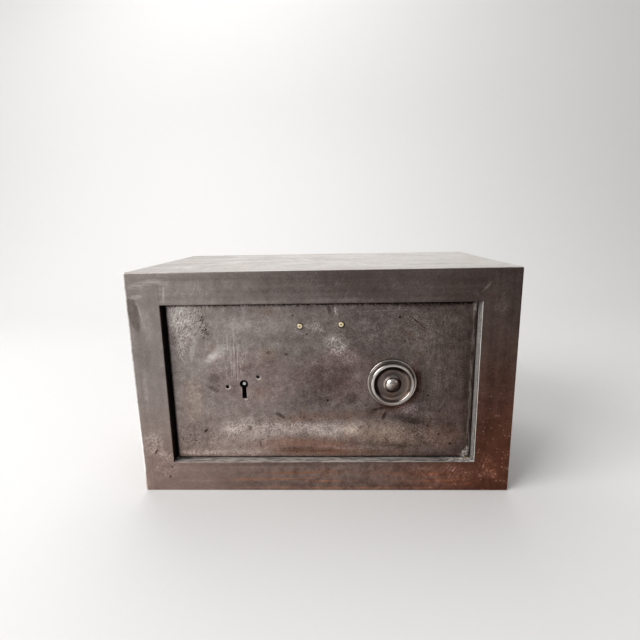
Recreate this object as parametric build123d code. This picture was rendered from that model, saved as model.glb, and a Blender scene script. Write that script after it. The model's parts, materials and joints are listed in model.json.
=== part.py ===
from build123d import *
import math
import os

# A small free-standing safe: a double-walled case with a recessed door, a turning knob
# that throws two round bolts, and a lever lock with its own flat bolt.
# Sizes are in millimetres. X runs to the right seen from the front, Y to the back, Z up.
# The origin is the middle of the base, and the front of the case faces -Y.
# The door is shown closed, with the bolts and the lock bolt drawn back.

# Case
case_width = 400
case_height = 244
case_depth = 234
plate_thickness = 3
case_rounding = 1.5
opening_rounding = 0.8
left_stile_width = 34.5
right_stile_width = 37.8
top_rail_height = 34
bottom_rail_height = 34
back_wall = 33
liner_thickness = 2

# Strips behind the frame that the door closes against
rebate_thickness = 6
rebate_lip = 5
rebate_cover = 11

# Channel beside the opening that takes the thrown bolts
channel_depth = 14.5
channel_clearance = 1
strike_thickness = 3

# Door
recess_depth = 10
door_thickness = 8
stop_clearance = 0.3
gap_left = 2.4
gap_right = 1.7
gap_top = 1.2
gap_bottom = 1
door_rounding = 0.6

# Pivot pins at the right edge of the door
pivot_diameter = 5
pivot_in_door = 15
pivot_in_frame = 7.8
pivot_hole_spare = 1.2
pivot_washer_thickness = 0.9

# Fits, each measured on the radius
pressed_fit = 0.02
running_fit = 0.05
screw_fit = 0.1
spindle_clearance = 0.2
small_edge = 0.5

# Knob and its spindle
knob_from_edge = 86.9
rose_diameter = 52
rose_step_diameter = 48
rose_thickness = 2
rose_height = 3
knob_diameter = 46
knob_height = 8
knob_lift = 0.6
knob_neck_radius = 18
knob_neck_height = 0.4
knob_flare = (3, 0.8)
dish_floor = 5.2
dish_slope = (0.6, 0.3)
dish_corner = 2
rim_width = 4
boss_collar_radius = 8.8
boss_collar_height = 1.2
boss_radius = 7.9
boss_height = 11.5
boss_pit_radius = 0.8
boss_pit_depth = 0.8
spindle_diameter = 10
spindle_square = 8
stub_diameter = 6
stub_height = 8.8
stub_end_gap = 0.1
bush_diameter = 14
bush_flange_diameter = 26
bush_flange_thickness = 2.5
washer_space = 1
wave_washer_thickness = 0.7
wave_washer_diameter = 16

# Crank that turns the knob's quarter turn into the bolts' stroke
crank_radius = 10
crank_rest_angle = 45
crank_thickness = 5
crank_hub_radius = 11
crank_tip_radius = 7
crank_pin_diameter = 6
crank_pin_end = 1
crank_clearance = 1.5
yoke_slot_play = 0.5
yoke_slot_spare = 0.6
yoke_width = 24

# Bolts, their bar and the arm that pulls it
bolt_diameter = 14
bolt_inset = 15.5
bolt_length = 43
bolt_chamfer = 1.2
bolt_front_clearance = 0.7
bolt_flat_depth = 2
bar_width = 20
bar_thickness = 6
bar_overhang = 8
bar_clearance = 0.86
bar_corner = 3
arm_width = 14
arm_thickness = 5
arm_clearance = 2
arm_screw_offset = 5
stud_from_knob = 66
stud_diameter = 6
stud_spacer_diameter = 12
stud_head_diameter = 11
stud_head_height = 2.5
stud_side_play = 0.2
stud_spigot = 5

# Angle that guides the bolts
guide_clearance = 2.5
guide_thickness = 4
guide_depth = 24
guide_foot = 20
guide_overhang = 9.5
guide_notch_clearance = 1
guide_screw_first = 7.6
guide_screw_second = 15.6
guide_screw_inset = 12

# Lock
key_from_edge = 78.1
key_below_middle = 0.8
keyhole_diameter = 9.4
keyhole_neck = 4.4
keyhole_foot = 5.2
keyhole_drop = 16.2
keyhole_rounding = 0.9
cover_pin_diameter = 4.2
cover_pin_depth = 6
cover_pin_left = (-18, -2.8)
cover_pin_right = (15.5, 8)
drill_pin_diameter = 4
drill_pin_recess = 1.5
lock_wall = 2
lock_reach_left = 61
lock_reach_right = 49
lock_reach_down = 24
lock_reach_up = 35
lock_flange = 8
lock_flange_corner = 3
lock_post_radius = 2.25
lock_post_inset = 1.7
lock_screw_inset = 10
lock_bolt_above_key = 18
lock_bolt_height = 18
lock_bolt_thickness = 6
lock_bolt_chamfer = 1
lock_bolt_end_gap = 2
lock_bolt_clearance = 0.3
lock_cap_clearance = 0.5
lock_throw = 12
talon_width = 14
talon_depth = 7.5
stump_from_key = 27
stump_diameter = 4
lever_count = 4
lever_thickness = 1.1
lever_gap = 0.2
lever_pivot_from_key = 25
lever_pivot_diameter = 5
lever_boss_radius = 7
lever_tail = 2.5
lever_above = 11.5
lever_below = 8
lever_corner = 2.5
lever_belly_radii = (15.5, 14.4, 15.0, 13.9)
pocket_width = 7
pocket_above = 7.6
pocket_below = 4.8
gate_play = 0.3
spring_thickness = 0.4
spring_wall_gap = 0.2
spring_reach = 14
spring_middle = (2, 0.7)

# Rivets of a plate that is gone
rivet_spacing = 43.2
rivet_offset = -0.1
rivet_rise = 0.7
rivet_below_top = 23.5
rivet_head_diameter = 5.6
rivet_head_height = 0.8
rivet_shank_diameter = 3
rivet_dimple_radius = 0.8
rivet_dimple_depth = 0.5
rivet_tail_height = 0.8
rivet_tail_diameter = 4.4

# Screws: head diameter, head height, shank diameter
large_screw = (7, 2.5, 4)
medium_screw = (6.4, 2.2, 3.5)
small_screw = (4.4, 1.8, 2.5)
screw_slot_width = 0.9
screw_slot_depth = 1
thread_depth = 5
screw_end_gap = 0.5

# Planes from front to back
front_y = -case_depth / 2
back_y = case_depth / 2
door_face_y = front_y + recess_depth
door_back_y = door_face_y + door_thickness
frame_back_y = door_back_y + stop_clearance
rebate_back_y = frame_back_y + rebate_thickness
liner_back_y = back_y - back_wall

# Opening of the case, and the cavity behind the strips
half_width = case_width / 2
open_left = left_stile_width - half_width
open_right = half_width - right_stile_width
open_bottom = bottom_rail_height
open_top = case_height - top_rail_height
cavity_left = open_left + rebate_lip
cavity_right = open_right - rebate_lip
cavity_bottom = open_bottom + rebate_lip
cavity_top = open_top - rebate_lip

# Door and the axes on it
door_left = open_left + gap_left
door_right = open_right - gap_right
door_bottom = open_bottom + gap_bottom
door_top = open_top - gap_top
hinge_x = door_right - door_thickness / 2
hinge_y = door_face_y + door_thickness / 2
control_z = (open_bottom + open_top) / 2
key_x = door_left + key_from_edge
key_z = control_z - key_below_middle
knob_x = door_right - knob_from_edge

# Boltwork
bolt_radius = bolt_diameter / 2
bolt_throw = 2 * crank_radius * math.sin(math.radians(crank_rest_angle))
bolt_axis_y = rebate_back_y + bolt_front_clearance + bolt_radius
bolt_heights = (door_bottom + bolt_inset, door_top - bolt_inset)
bar_front_y = bolt_axis_y + bolt_radius - bolt_flat_depth
bar_back_y = bar_front_y + bar_thickness
arm_front_y = bar_front_y - arm_thickness
guide_left = cavity_left + guide_clearance
bar_left = guide_left + guide_thickness + bolt_throw + bar_clearance
bar_right = bar_left + bar_width
bar_middle = (bar_left + bar_right) / 2
strike_front_y = bolt_axis_y + bolt_radius + channel_clearance
strike_back_y = strike_front_y + strike_thickness
channel_left = cavity_left - channel_depth

# Crank
crank_back_y = arm_front_y - crank_clearance
crank_front_y = crank_back_y - crank_thickness
bush_end_y = crank_front_y - washer_space
crank_angle = math.radians(crank_rest_angle)
pin_x = knob_x + crank_radius * math.sin(crank_angle)
pin_z = control_z + crank_radius * math.cos(crank_angle)

# Lock
lock_left = key_x - lock_reach_left
lock_right = key_x + lock_reach_right
lock_bottom = key_z - lock_reach_down
lock_top = key_z + lock_reach_up
lock_floor_y = door_back_y + lock_wall
lever_pitch = lever_thickness + lever_gap
lever_fronts = [lock_floor_y + lever_gap + lever_pitch * i for i in range(lever_count)]
lock_bolt_front_y = lever_fronts[-1] + lever_thickness + lock_bolt_clearance
lock_bolt_back_y = lock_bolt_front_y + lock_bolt_thickness
lock_cap_y = lock_bolt_back_y + lock_cap_clearance
lock_bolt_z = key_z + lock_bolt_above_key
lock_bolt_bottom = lock_bolt_z - lock_bolt_height / 2
lock_bolt_top = lock_bolt_z + lock_bolt_height / 2
lever_pivot_x = key_x + lever_pivot_from_key
stump_x = key_x - stump_from_key
lever_end_x = stump_x - lock_throw - pocket_width / 2 - lever_tail
arm_z = lock_top + arm_clearance + arm_width / 2
stud_x = knob_x - stud_from_knob


# Shapes that are used again and again
def block(x0, x1, y0, y1, z0, z1):
    middle = Pos((x0 + x1) / 2, (y0 + y1) / 2, (z0 + z1) / 2)
    return middle * Box(x1 - x0, y1 - y0, z1 - z0)


# A plate parallel to the door: its outline is drawn in X and Z as seen from the front.
def plate(outline, y_front, y_back):
    back = Plane(origin=(0, y_back, 0), x_dir=(1, 0, 0), z_dir=(0, -1, 0))
    return extrude(back * outline, amount=y_back - y_front)


def rectangle(x0, x1, z0, z1):
    return Pos((x0 + x1) / 2, (z0 + z1) / 2) * Rectangle(x1 - x0, z1 - z0)


def rounded_rectangle(x0, x1, z0, z1, corner):
    return Pos((x0 + x1) / 2, (z0 + z1) / 2) * RectangleRounded(x1 - x0, z1 - z0, corner)


def disc(x, z, radius):
    return Pos(x, z) * Circle(radius)


def pin(x, z, y_front, y_back, radius):
    return plate(disc(x, z, radius), y_front, y_back)


def upright_pin(z_bottom, z_top, radius):
    base = Plane(origin=(hinge_x, hinge_y, z_bottom))
    return extrude(base * Circle(radius), amount=z_top - z_bottom)


def round_bar(x_left, x_right, y, z, radius):
    end = Plane(origin=(x_left, y, z), x_dir=(0, 1, 0), z_dir=(1, 0, 0))
    return extrude(end * Circle(radius), amount=x_right - x_left)


# A turned piece: its profile gives radius and height above y_base, towards the front.
def turned(profile, x, z, y_base):
    section = Plane(origin=(x, y_base, z), x_dir=(1, 0, 0), z_dir=(0, 0, -1))
    return revolve(section * make_face(profile), Axis((x, y_base, z), (0, -1, 0)))


# A slotted screw that is driven from behind, with its head on the plane seat_y.
def screw(x, z, seat_y, size, length):
    head_diameter, head_height, shank_diameter = size
    top_y = seat_y + head_height
    head = pin(x, z, seat_y, top_y, head_diameter / 2)
    head = chamfer(head.faces().sort_by(Axis.Y)[-1].edges(), head_height / 5)
    slot_reach = head_diameter / 2 + 1
    slot = block(
        x - slot_reach, x + slot_reach,
        top_y - screw_slot_depth, top_y + 1,
        z - screw_slot_width / 2, z + screw_slot_width / 2,
    )
    return head - slot + pin(x, z, seat_y - length, seat_y, shank_diameter / 2)


def screw_hole(x, z, y_front, y_back, size):
    return pin(x, z, y_front, y_back, size[2] / 2 + screw_fit)


def group(solids):
    return Compound([shape.solid() for shape in solids])


# Case: the front frame and the plates are cut from one rounded block, so they stay flush
def case_envelope():
    whole = block(-half_width, half_width, front_y, back_y, 0, case_height)
    return fillet(whole.edges(), case_rounding)


def on_opening_edge(edge):
    middle = edge.center()
    beside = open_left - 0.1 < middle.X < open_right + 0.1
    level = open_bottom - 0.1 < middle.Z < open_top + 0.1
    return abs(middle.Y - front_y) < 0.001 and beside and level


def front_frame():
    slab = case_envelope() & block(-half_width, half_width, front_y, frame_back_y, 0, case_height)
    hollow = block(open_left, open_right, front_y - 1, frame_back_y + 1, open_bottom, open_top)
    frame = slab - hollow
    frame = fillet(frame.edges().filter_by(on_opening_edge), opening_rounding)
    hole_radius = pivot_diameter / 2 + running_fit
    hole_depth = pivot_in_frame + pivot_hole_spare
    upper_hole = upright_pin(open_top, open_top + hole_depth, hole_radius)
    lower_hole = upright_pin(open_bottom - hole_depth, open_bottom, hole_radius)
    return frame - upper_hole - lower_hole


# The stiles run the full height, and the rails stand between them.
def frame_bars():
    frame = front_frame()
    y0, y1 = front_y, frame_back_y
    return {
        "frame_left_bar": frame & block(-half_width, open_left, y0, y1, 0, case_height),
        "frame_right_bar": frame & block(open_right, half_width, y0, y1, 0, case_height),
        "frame_top_bar": frame & block(open_left, open_right, y0, y1, open_top, case_height),
        "frame_bottom_bar": frame & block(open_left, open_right, y0, y1, 0, open_bottom),
    }


def case_plates():
    shell = case_envelope()
    w, t, y0, y1 = half_width, plate_thickness, frame_back_y, back_y
    z0, z1 = t, case_height - t
    return {
        "top_plate": shell & block(-w, w, y0, y1, z1, case_height),
        "bottom_plate": shell & block(-w, w, y0, y1, 0, z0),
        "left_plate": shell & block(-w, t - w, y0, y1, z0, z1),
        "right_plate": shell & block(w - t, w, y0, y1, z0, z1),
        "back_plate": shell & block(t - w, w - t, y1 - t, y1, z0, z1),
    }


def rebate_strips():
    y0, y1 = frame_back_y, rebate_back_y
    low, high = open_bottom - rebate_cover, open_top + rebate_cover
    return {
        "rebate_strip_left": block(open_left - rebate_cover, cavity_left, y0, y1, low, high),
        "rebate_strip_right": block(cavity_right, open_right + rebate_cover, y0, y1, low, high),
        "rebate_strip_top": block(cavity_left, cavity_right, y0, y1, cavity_top, high),
        "rebate_strip_bottom": block(cavity_left, cavity_right, y0, y1, low, cavity_bottom),
    }


def liners():
    t, y0, y1 = liner_thickness, rebate_back_y, liner_back_y
    x0, x1, z0, z1 = cavity_left, cavity_right, cavity_bottom, cavity_top
    return {
        "liner_top": block(x0, x1, y0, y1, z1, z1 + t),
        "liner_bottom": block(x0, x1, y0, y1, z0 - t, z0),
        "liner_left": block(x0 - t, x0, strike_back_y, y1, z0 - t, z1 + t),
        "liner_right": block(x1, x1 + t, y0, y1, z0 - t, z1 + t),
        "liner_back": block(x0 - t, x1 + t, y1, y1 + t, z0 - t, z1 + t),
    }


def strike_angle():
    t, z0, z1 = strike_thickness, cavity_bottom, cavity_top
    web = block(channel_left - t, channel_left, rebate_back_y, strike_back_y, z0, z1)
    flange = block(channel_left - t, cavity_left, strike_front_y, strike_back_y, z0, z1)
    return web + flange


# Fire-resisting filling that takes up the wall between the plates and the liners
def fire_fill():
    w, t, s = half_width - plate_thickness, plate_thickness, liner_thickness
    wall = block(-w, w, frame_back_y, back_y - t, t, case_height - t)
    lining = block(
        cavity_left - s, cavity_right + s,
        frame_back_y, liner_back_y + s,
        cavity_bottom - s, cavity_top + s,
    )
    strips = block(
        open_left - rebate_cover, open_right + rebate_cover,
        frame_back_y, rebate_back_y,
        open_bottom - rebate_cover, open_top + rebate_cover,
    )
    channel = block(
        channel_left - strike_thickness, cavity_left,
        rebate_back_y, strike_back_y,
        cavity_bottom, cavity_top,
    )
    return wall - lining - strips - channel


def pivot_washer():
    base = Plane(origin=(hinge_x, hinge_y, open_bottom))
    ring = Circle(door_thickness / 2) - Circle(pivot_diameter / 2 + screw_fit)
    return extrude(base * ring, amount=pivot_washer_thickness)


# Door
def keyhole():
    top_half, foot_half = keyhole_neck / 2, keyhole_foot / 2
    slot = Polygon(
        (-top_half, 0), (-foot_half, -keyhole_drop), (foot_half, -keyhole_drop), (top_half, 0),
        align=None,
    )
    slot = fillet(slot.vertices().sort_by(Axis.Y)[:2], keyhole_rounding)
    return Pos(key_x, key_z) * (Circle(keyhole_diameter / 2) + slot)


def guide_screw_places():
    lower, upper = bolt_heights
    heights = (lower + guide_screw_inset, upper - guide_screw_inset)
    columns = (guide_left + guide_screw_first, guide_left + guide_screw_second)
    return [(x, z) for x in columns for z in heights]


def lock_screw_places():
    across = (lock_left + lock_screw_inset, lock_right - lock_screw_inset)
    return [(x, z) for x in across for z in (lock_bottom - lock_flange / 2, lock_top + lock_flange / 2)]


def rivet_places():
    middle = (door_left + door_right) / 2 + rivet_offset
    z = door_top - rivet_below_top
    half = rivet_spacing / 2
    return [(middle - half, z - rivet_rise), (middle + half, z + rivet_rise)]


def door_plate():
    flat = block(door_left, hinge_x, door_face_y, door_back_y, door_bottom, door_top)
    door = flat + upright_pin(door_bottom, door_top, door_thickness / 2)
    upright = door.edges().filter_by(Axis.Z).group_by(Axis.X)[0]
    ends = door.faces().filter_by(Axis.Z).edges()
    door = fillet(upright + ends, door_rounding)
    hole_radius = pivot_diameter / 2 + pressed_fit
    door -= upright_pin(door_top - pivot_in_door, door_top, hole_radius)
    door -= upright_pin(door_bottom, door_bottom + pivot_in_door, hole_radius)
    through = (door_face_y - 1, door_back_y + 1)
    door -= plate(keyhole(), *through)
    door -= pin(knob_x, control_z, *through, bush_diameter / 2 + pressed_fit)
    for dx, dz in (cover_pin_left, cover_pin_right):
        bottom_y = door_face_y + cover_pin_depth
        door -= pin(key_x + dx, key_z + dz, door_face_y, bottom_y, cover_pin_diameter / 2)
    for x, z in rivet_places():
        door -= pin(x, z, *through, rivet_shank_diameter / 2 + pressed_fit)
    for x, z in guide_screw_places():
        door -= screw_hole(x, z, door_back_y - thread_depth, door_back_y, large_screw)
    for x, z in lock_screw_places():
        door -= screw_hole(x, z, door_back_y - thread_depth, door_back_y, medium_screw)
    return door - pin(stud_x, arm_z, door_back_y - stud_spigot, door_back_y, stud_diameter / 2 + pressed_fit)


def rivet(x, z):
    radius, shank = rivet_head_diameter / 2, rivet_shank_diameter / 2
    head = Polyline(
        (0, -door_thickness), (shank, -door_thickness), (shank, 0), (radius, 0),
        (radius, rivet_head_height * 0.4), (radius * 0.8, rivet_head_height),
        (rivet_dimple_radius, rivet_head_height),
        (rivet_dimple_radius * 0.5, rivet_head_height - rivet_dimple_depth),
        (0, rivet_head_height - rivet_dimple_depth), close=True,
    )
    tail = pin(x, z, door_back_y, door_back_y + rivet_tail_height, rivet_tail_diameter / 2)
    return turned(head, x, z, door_face_y) + tail


def hinge_pins():
    radius = pivot_diameter / 2
    return {
        "hinge_pin_top": upright_pin(door_top - pivot_in_door, open_top + pivot_in_frame, radius),
        "hinge_pin_bottom": upright_pin(open_bottom - pivot_in_frame, door_bottom + pivot_in_door, radius),
    }


def knob_rose():
    outer, step = rose_diameter / 2, rose_step_diameter / 2
    bore = spindle_diameter / 2 + spindle_clearance
    edge = small_edge
    profile = Polyline(
        (bore, 0), (outer, 0), (outer, rose_thickness - edge), (outer - edge, rose_thickness),
        (step, rose_thickness), (step, rose_height - edge), (step - edge, rose_height),
        (bore, rose_height), close=True,
    )
    return turned(profile, knob_x, control_z, door_face_y)


def spindle_bush():
    body = pin(knob_x, control_z, door_face_y, bush_end_y, bush_diameter / 2)
    flange_back = door_back_y + bush_flange_thickness
    flange = pin(knob_x, control_z, door_back_y, flange_back, bush_flange_diameter / 2)
    flange = chamfer(flange.faces().sort_by(Axis.Y)[-1].edges(), small_edge)
    bore = pin(knob_x, control_z, door_face_y - 1, bush_end_y + 1, spindle_diameter / 2 + running_fit)
    return body + flange - bore


def bolt_guide_angle():
    x0, x1 = guide_left, guide_left + guide_thickness
    y0, y1 = door_back_y, door_back_y + guide_depth
    z0, z1 = bolt_heights[0] - guide_overhang, bolt_heights[1] + guide_overhang
    standing = block(x0, x1, y0, y1, z0, z1)
    foot = block(x0, x0 + guide_foot, y0, y0 + guide_thickness, z0, z1)
    notch = block(
        x1, x0 + guide_foot + 1, y0 - 1, y0 + guide_thickness + 1,
        lock_bottom - lock_flange - guide_notch_clearance,
        lock_top + lock_flange + guide_notch_clearance,
    )
    angle = standing + (foot - notch)
    for z in bolt_heights:
        angle -= round_bar(x0 - 1, x1 + 1, bolt_axis_y, z, bolt_radius + 2 * running_fit)
    slack = lock_bolt_clearance
    angle -= block(
        x0 - 1, x1 + 1, lock_bolt_front_y - slack, lock_bolt_back_y + slack,
        lock_bolt_bottom - slack, lock_bolt_top + slack,
    )
    for x, z in guide_screw_places():
        angle -= screw_hole(x, z, y0 - 1, y0 + guide_thickness + 1, large_screw)
    return angle


# The stud that the arm slides on, with a spacer in front of the arm and a head behind it
def arm_guide_stud():
    spacer = pin(stud_x, arm_z, door_back_y, arm_front_y - stud_side_play, stud_spacer_diameter / 2)
    head_y = bar_front_y + stud_side_play
    shank = pin(stud_x, arm_z, door_back_y - stud_spigot, head_y, stud_diameter / 2)
    head = pin(stud_x, arm_z, head_y, head_y + stud_head_height, stud_head_diameter / 2)
    head = chamfer(head.faces().sort_by(Axis.Y)[-1].edges(), small_edge)
    return spacer + shank + head


# Lock
def lock_posts():
    x0, x1 = lock_left + lock_wall + lock_post_inset, lock_right - lock_wall - lock_post_inset
    z0, z1 = lock_bottom + lock_wall + lock_post_inset, lock_top - lock_wall - lock_post_inset
    return [(x, z) for x in (x0, x1) for z in (z0, z1)]


def lock_case():
    base = rounded_rectangle(
        lock_left, lock_right, lock_bottom - lock_flange, lock_top + lock_flange, lock_flange_corner
    )
    case = plate(base, door_back_y, lock_floor_y)
    case += block(lock_left, lock_right, door_back_y, lock_cap_y, lock_bottom, lock_top)
    case -= block(
        lock_left + lock_wall, lock_right - lock_wall, lock_floor_y, lock_cap_y + 1,
        lock_bottom + lock_wall, lock_top - lock_wall,
    )
    for x, z in lock_posts():
        case += pin(x, z, lock_floor_y, lock_cap_y, lock_post_radius)
        case -= screw_hole(x, z, lock_cap_y - thread_depth, lock_cap_y, small_screw)
    slack = lock_bolt_clearance
    case -= block(
        lock_left - 1, lock_left + lock_wall, lock_bolt_front_y - slack, lock_cap_y + 1,
        lock_bolt_bottom - slack, lock_bolt_top + slack,
    )
    case -= plate(keyhole(), door_back_y - 1, lock_floor_y + 1)
    for x, z in lock_screw_places():
        case -= screw_hole(x, z, door_back_y - 1, lock_floor_y + 1, medium_screw)
    return case


def lock_cap():
    cap = plate(rectangle(lock_left, lock_right, lock_bottom, lock_top), lock_cap_y, lock_cap_y + lock_wall)
    for x, z in lock_posts():
        cap -= screw_hole(x, z, lock_cap_y - 1, lock_cap_y + lock_wall + 1, small_screw)
    hole_radius = drill_pin_diameter / 2 + pressed_fit
    return cap - pin(key_x, key_z, lock_cap_y - 1, lock_cap_y + lock_wall + 1, hole_radius)


def drill_pin():
    front = door_face_y + drill_pin_recess
    post = pin(key_x, key_z, front, lock_cap_y + lock_wall, drill_pin_diameter / 2)
    return chamfer(post.faces().sort_by(Axis.Y)[0].edges(), small_edge)


# One lever lies at each front plane, and only the curve above the key differs.
def lever(number):
    x, z = lever_pivot_x, lock_bolt_z
    outline = rounded_rectangle(lever_end_x, x, z - lever_below, z + lever_above, lever_corner)
    outline += disc(x, z, lever_boss_radius)
    outline -= rectangle(x, x + lever_boss_radius, z + lever_boss_radius, z + lever_above + 1)
    outline -= disc(key_x, key_z, lever_belly_radii[number % len(lever_belly_radii)])
    low, high = z - pocket_below, z + pocket_above
    for middle in (stump_x, stump_x - lock_throw):
        outline -= rectangle(middle - pocket_width / 2, middle + pocket_width / 2, low, high)
    gate = stump_diameter / 2 + gate_play
    outline -= rectangle(stump_x - lock_throw, stump_x, z - gate, z + gate)
    outline -= disc(x, z, lever_pivot_diameter / 2 + running_fit)
    front = lever_fronts[number]
    return plate(outline, front, front + lever_thickness)


# A leaf spring on each lever, bent up against the top wall of the lock case
def lever_spring(number):
    wall_z = lock_top - lock_wall - spring_wall_gap - spring_thickness
    foot = (lever_pivot_x - spring_reach, lock_bolt_z + lever_above + spring_thickness / 2)
    middle = (lever_pivot_x - spring_middle[0], foot[1] + spring_middle[1])
    tip = (lever_pivot_x + spring_reach, wall_z)
    leaf = trace(ThreePointArc(foot, middle, tip), spring_thickness)
    front = lever_fronts[number]
    return plate(leaf, front + lever_gap / 2, front + lever_thickness - lever_gap / 2)


def lever_pivot():
    return pin(lever_pivot_x, lock_bolt_z, lock_floor_y, lock_cap_y, lever_pivot_diameter / 2)


def lock_bolt():
    left, right = guide_left, lock_right - lock_wall - lock_bolt_end_gap
    bar = block(left, right, lock_bolt_front_y, lock_bolt_back_y, lock_bolt_bottom, lock_bolt_top)
    bar = chamfer(bar.faces().sort_by(Axis.X)[0].edges(), lock_bolt_chamfer)
    through = (lock_bolt_front_y - 1, lock_bolt_back_y + 1)
    slot_half = lever_pivot_diameter / 2 + 2 * running_fit
    slot_left, slot_right = lever_pivot_x - gate_play, lever_pivot_x + lock_throw + gate_play
    slot = rectangle(slot_left, slot_right, lock_bolt_z - slot_half, lock_bolt_z + slot_half)
    slot += disc(slot_left, lock_bolt_z, slot_half) + disc(slot_right, lock_bolt_z, slot_half)
    bar -= plate(slot, *through)
    talon_x = key_x + lock_throw / 2
    talon = rectangle(
        talon_x - talon_width / 2, talon_x + talon_width / 2,
        lock_bolt_bottom - 1, lock_bolt_bottom + talon_depth,
    )
    bar -= plate(talon, *through)
    return bar - pin(stump_x, lock_bolt_z, *through, stump_diameter / 2 + pressed_fit)


def bolt_stump():
    front = lever_fronts[0] + lever_gap
    return pin(stump_x, lock_bolt_z, front, lock_bolt_back_y, stump_diameter / 2)


# Knob: a dished disc with a rounded rim on a narrow neck
def knob():
    base, rim = rose_height + knob_lift, knob_diameter / 2
    bead = rim_width / 2
    neck_top = base + knob_neck_height
    bore = stub_diameter / 2 + pressed_fit
    neck = Polyline((bore, base), (knob_neck_radius, base), (knob_neck_radius, neck_top))
    flare = ThreePointArc(
        (knob_neck_radius, neck_top),
        (knob_neck_radius + knob_flare[0], neck_top + knob_flare[1]),
        (rim, knob_height - bead),
    )
    top = ThreePointArc(
        (rim, knob_height - bead),
        (rim - bead, knob_height),
        (rim - 2 * bead, knob_height - bead),
    )
    inner = rim - 2 * bead
    dish = Polyline(
        (inner, knob_height - bead), (inner - dish_slope[0], dish_floor + dish_slope[1]),
        (inner - dish_corner, dish_floor), (bore, dish_floor), (bore, base),
    )
    return turned(neck + flare + top + dish, knob_x, control_z, door_face_y)


# The domed boss in the middle of the knob covers the end of the spindle.
def knob_boss():
    collar_top = dish_floor + boss_collar_height
    bore = stub_diameter / 2 + pressed_fit
    pit_floor = boss_height - boss_pit_depth
    stub_room = stub_height + stub_end_gap
    foot = Polyline(
        (0, pit_floor), (0, stub_room), (bore, stub_room), (bore, dish_floor),
        (boss_collar_radius, dish_floor), (boss_collar_radius, collar_top - small_edge),
        (boss_collar_radius - small_edge, collar_top), (boss_radius, collar_top),
    )
    shoulder = (boss_radius * 0.78, collar_top + (boss_height - collar_top) * 0.66)
    dome = ThreePointArc((boss_radius, collar_top), shoulder, (boss_pit_radius, boss_height))
    pit = Polyline((boss_pit_radius, boss_height), (boss_pit_radius * 0.6, pit_floor), (0, pit_floor))
    return turned(foot + dome + pit, knob_x, control_z, door_face_y)


def spindle():
    base_y = door_face_y - rose_height - knob_lift
    journal = pin(knob_x, control_z, base_y, crank_front_y, spindle_diameter / 2)
    stub = pin(knob_x, control_z, door_face_y - stub_height, base_y, stub_diameter / 2)
    end = Pos(knob_x, control_z) * Rectangle(spindle_square, spindle_square)
    square = plate(end, crank_front_y, crank_back_y)
    return journal + stub + square


def wave_washer():
    ring = disc(knob_x, control_z, wave_washer_diameter / 2)
    ring -= disc(knob_x, control_z, spindle_diameter / 2 + spindle_clearance)
    middle_y = (bush_end_y + crank_front_y) / 2
    return plate(ring, middle_y - wave_washer_thickness / 2, middle_y + wave_washer_thickness / 2)


def crank():
    hub, tip = disc(knob_x, control_z, crank_hub_radius), disc(pin_x, pin_z, crank_tip_radius)
    web = make_hull(hub.edges() + tip.edges())
    hole = spindle_square + 2 * pressed_fit
    web -= Pos(knob_x, control_z) * Rectangle(hole, hole)
    web -= disc(pin_x, pin_z, crank_pin_diameter / 2 + pressed_fit)
    return plate(web, crank_front_y, crank_back_y)


def crank_pin():
    end = bar_front_y + crank_pin_end
    post = pin(pin_x, pin_z, crank_front_y, end, crank_pin_diameter / 2)
    return chamfer(post.faces().sort_by(Axis.Y)[-1].edges(), small_edge)


# Boltwork
def bolt_bar():
    low, high = bolt_heights[0] - bar_overhang, bolt_heights[1] + bar_overhang
    bar = plate(rounded_rectangle(bar_left, bar_right, low, high, bar_corner), bar_front_y, bar_back_y)
    for x, z in bolt_screw_places() + arm_screw_places():
        bar -= screw_hole(x, z, bar_front_y - 1, bar_back_y + 1, large_screw)
    return bar


def bolt_screw_places():
    return [(bar_middle, z) for z in bolt_heights]


def arm_screw_places():
    return [(bar_middle - arm_screw_offset, arm_z), (bar_middle + arm_screw_offset, arm_z)]


# A round bolt with a flat behind, where the bar lies on it
def bolt(z):
    rod = round_bar(guide_left, guide_left + bolt_length, bolt_axis_y, z, bolt_radius)
    rod = chamfer(rod.faces().filter_by(Axis.X).edges(), bolt_chamfer)
    behind = bolt_axis_y + bolt_radius + 1
    rod -= block(
        bar_left - running_fit, bar_right + running_fit, bar_front_y, behind,
        z - bolt_radius - 1, z + bolt_radius + 1,
    )
    return rod - screw_hole(bar_middle, z, bar_front_y - thread_depth, bar_front_y, large_screw)


# The arm runs from the bar to a yoke, whose upright slot the crank pin moves in.
def throw_arm():
    low = pin_z - yoke_slot_spare
    high = control_z + crank_radius + yoke_slot_spare
    half = yoke_width / 2
    right = pin_x + half
    arm = rounded_rectangle(bar_left, right, arm_z - arm_width / 2, arm_z + arm_width / 2, bar_corner)
    leg = rectangle(pin_x - half, right, low, arm_z) + disc(pin_x, low, half)
    outline = arm + leg
    slot_radius = crank_pin_diameter / 2 + yoke_slot_play
    outline -= rectangle(pin_x - slot_radius, pin_x + slot_radius, low, high)
    outline -= disc(pin_x, low, slot_radius)
    outline -= disc(pin_x, high, slot_radius)
    guide_radius = stud_diameter / 2 + 2 * running_fit
    guide_from, guide_to = stud_x - gate_play, stud_x + bolt_throw + gate_play
    outline -= rectangle(guide_from, guide_to, arm_z - guide_radius, arm_z + guide_radius)
    outline -= disc(guide_from, arm_z, guide_radius)
    outline -= disc(guide_to, arm_z, guide_radius)
    arm_plate = plate(outline, arm_front_y, bar_front_y)
    for x, z in arm_screw_places():
        arm_plate -= screw_hole(x, z, arm_front_y - 1, bar_front_y + 1, large_screw)
    return arm_plate


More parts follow.
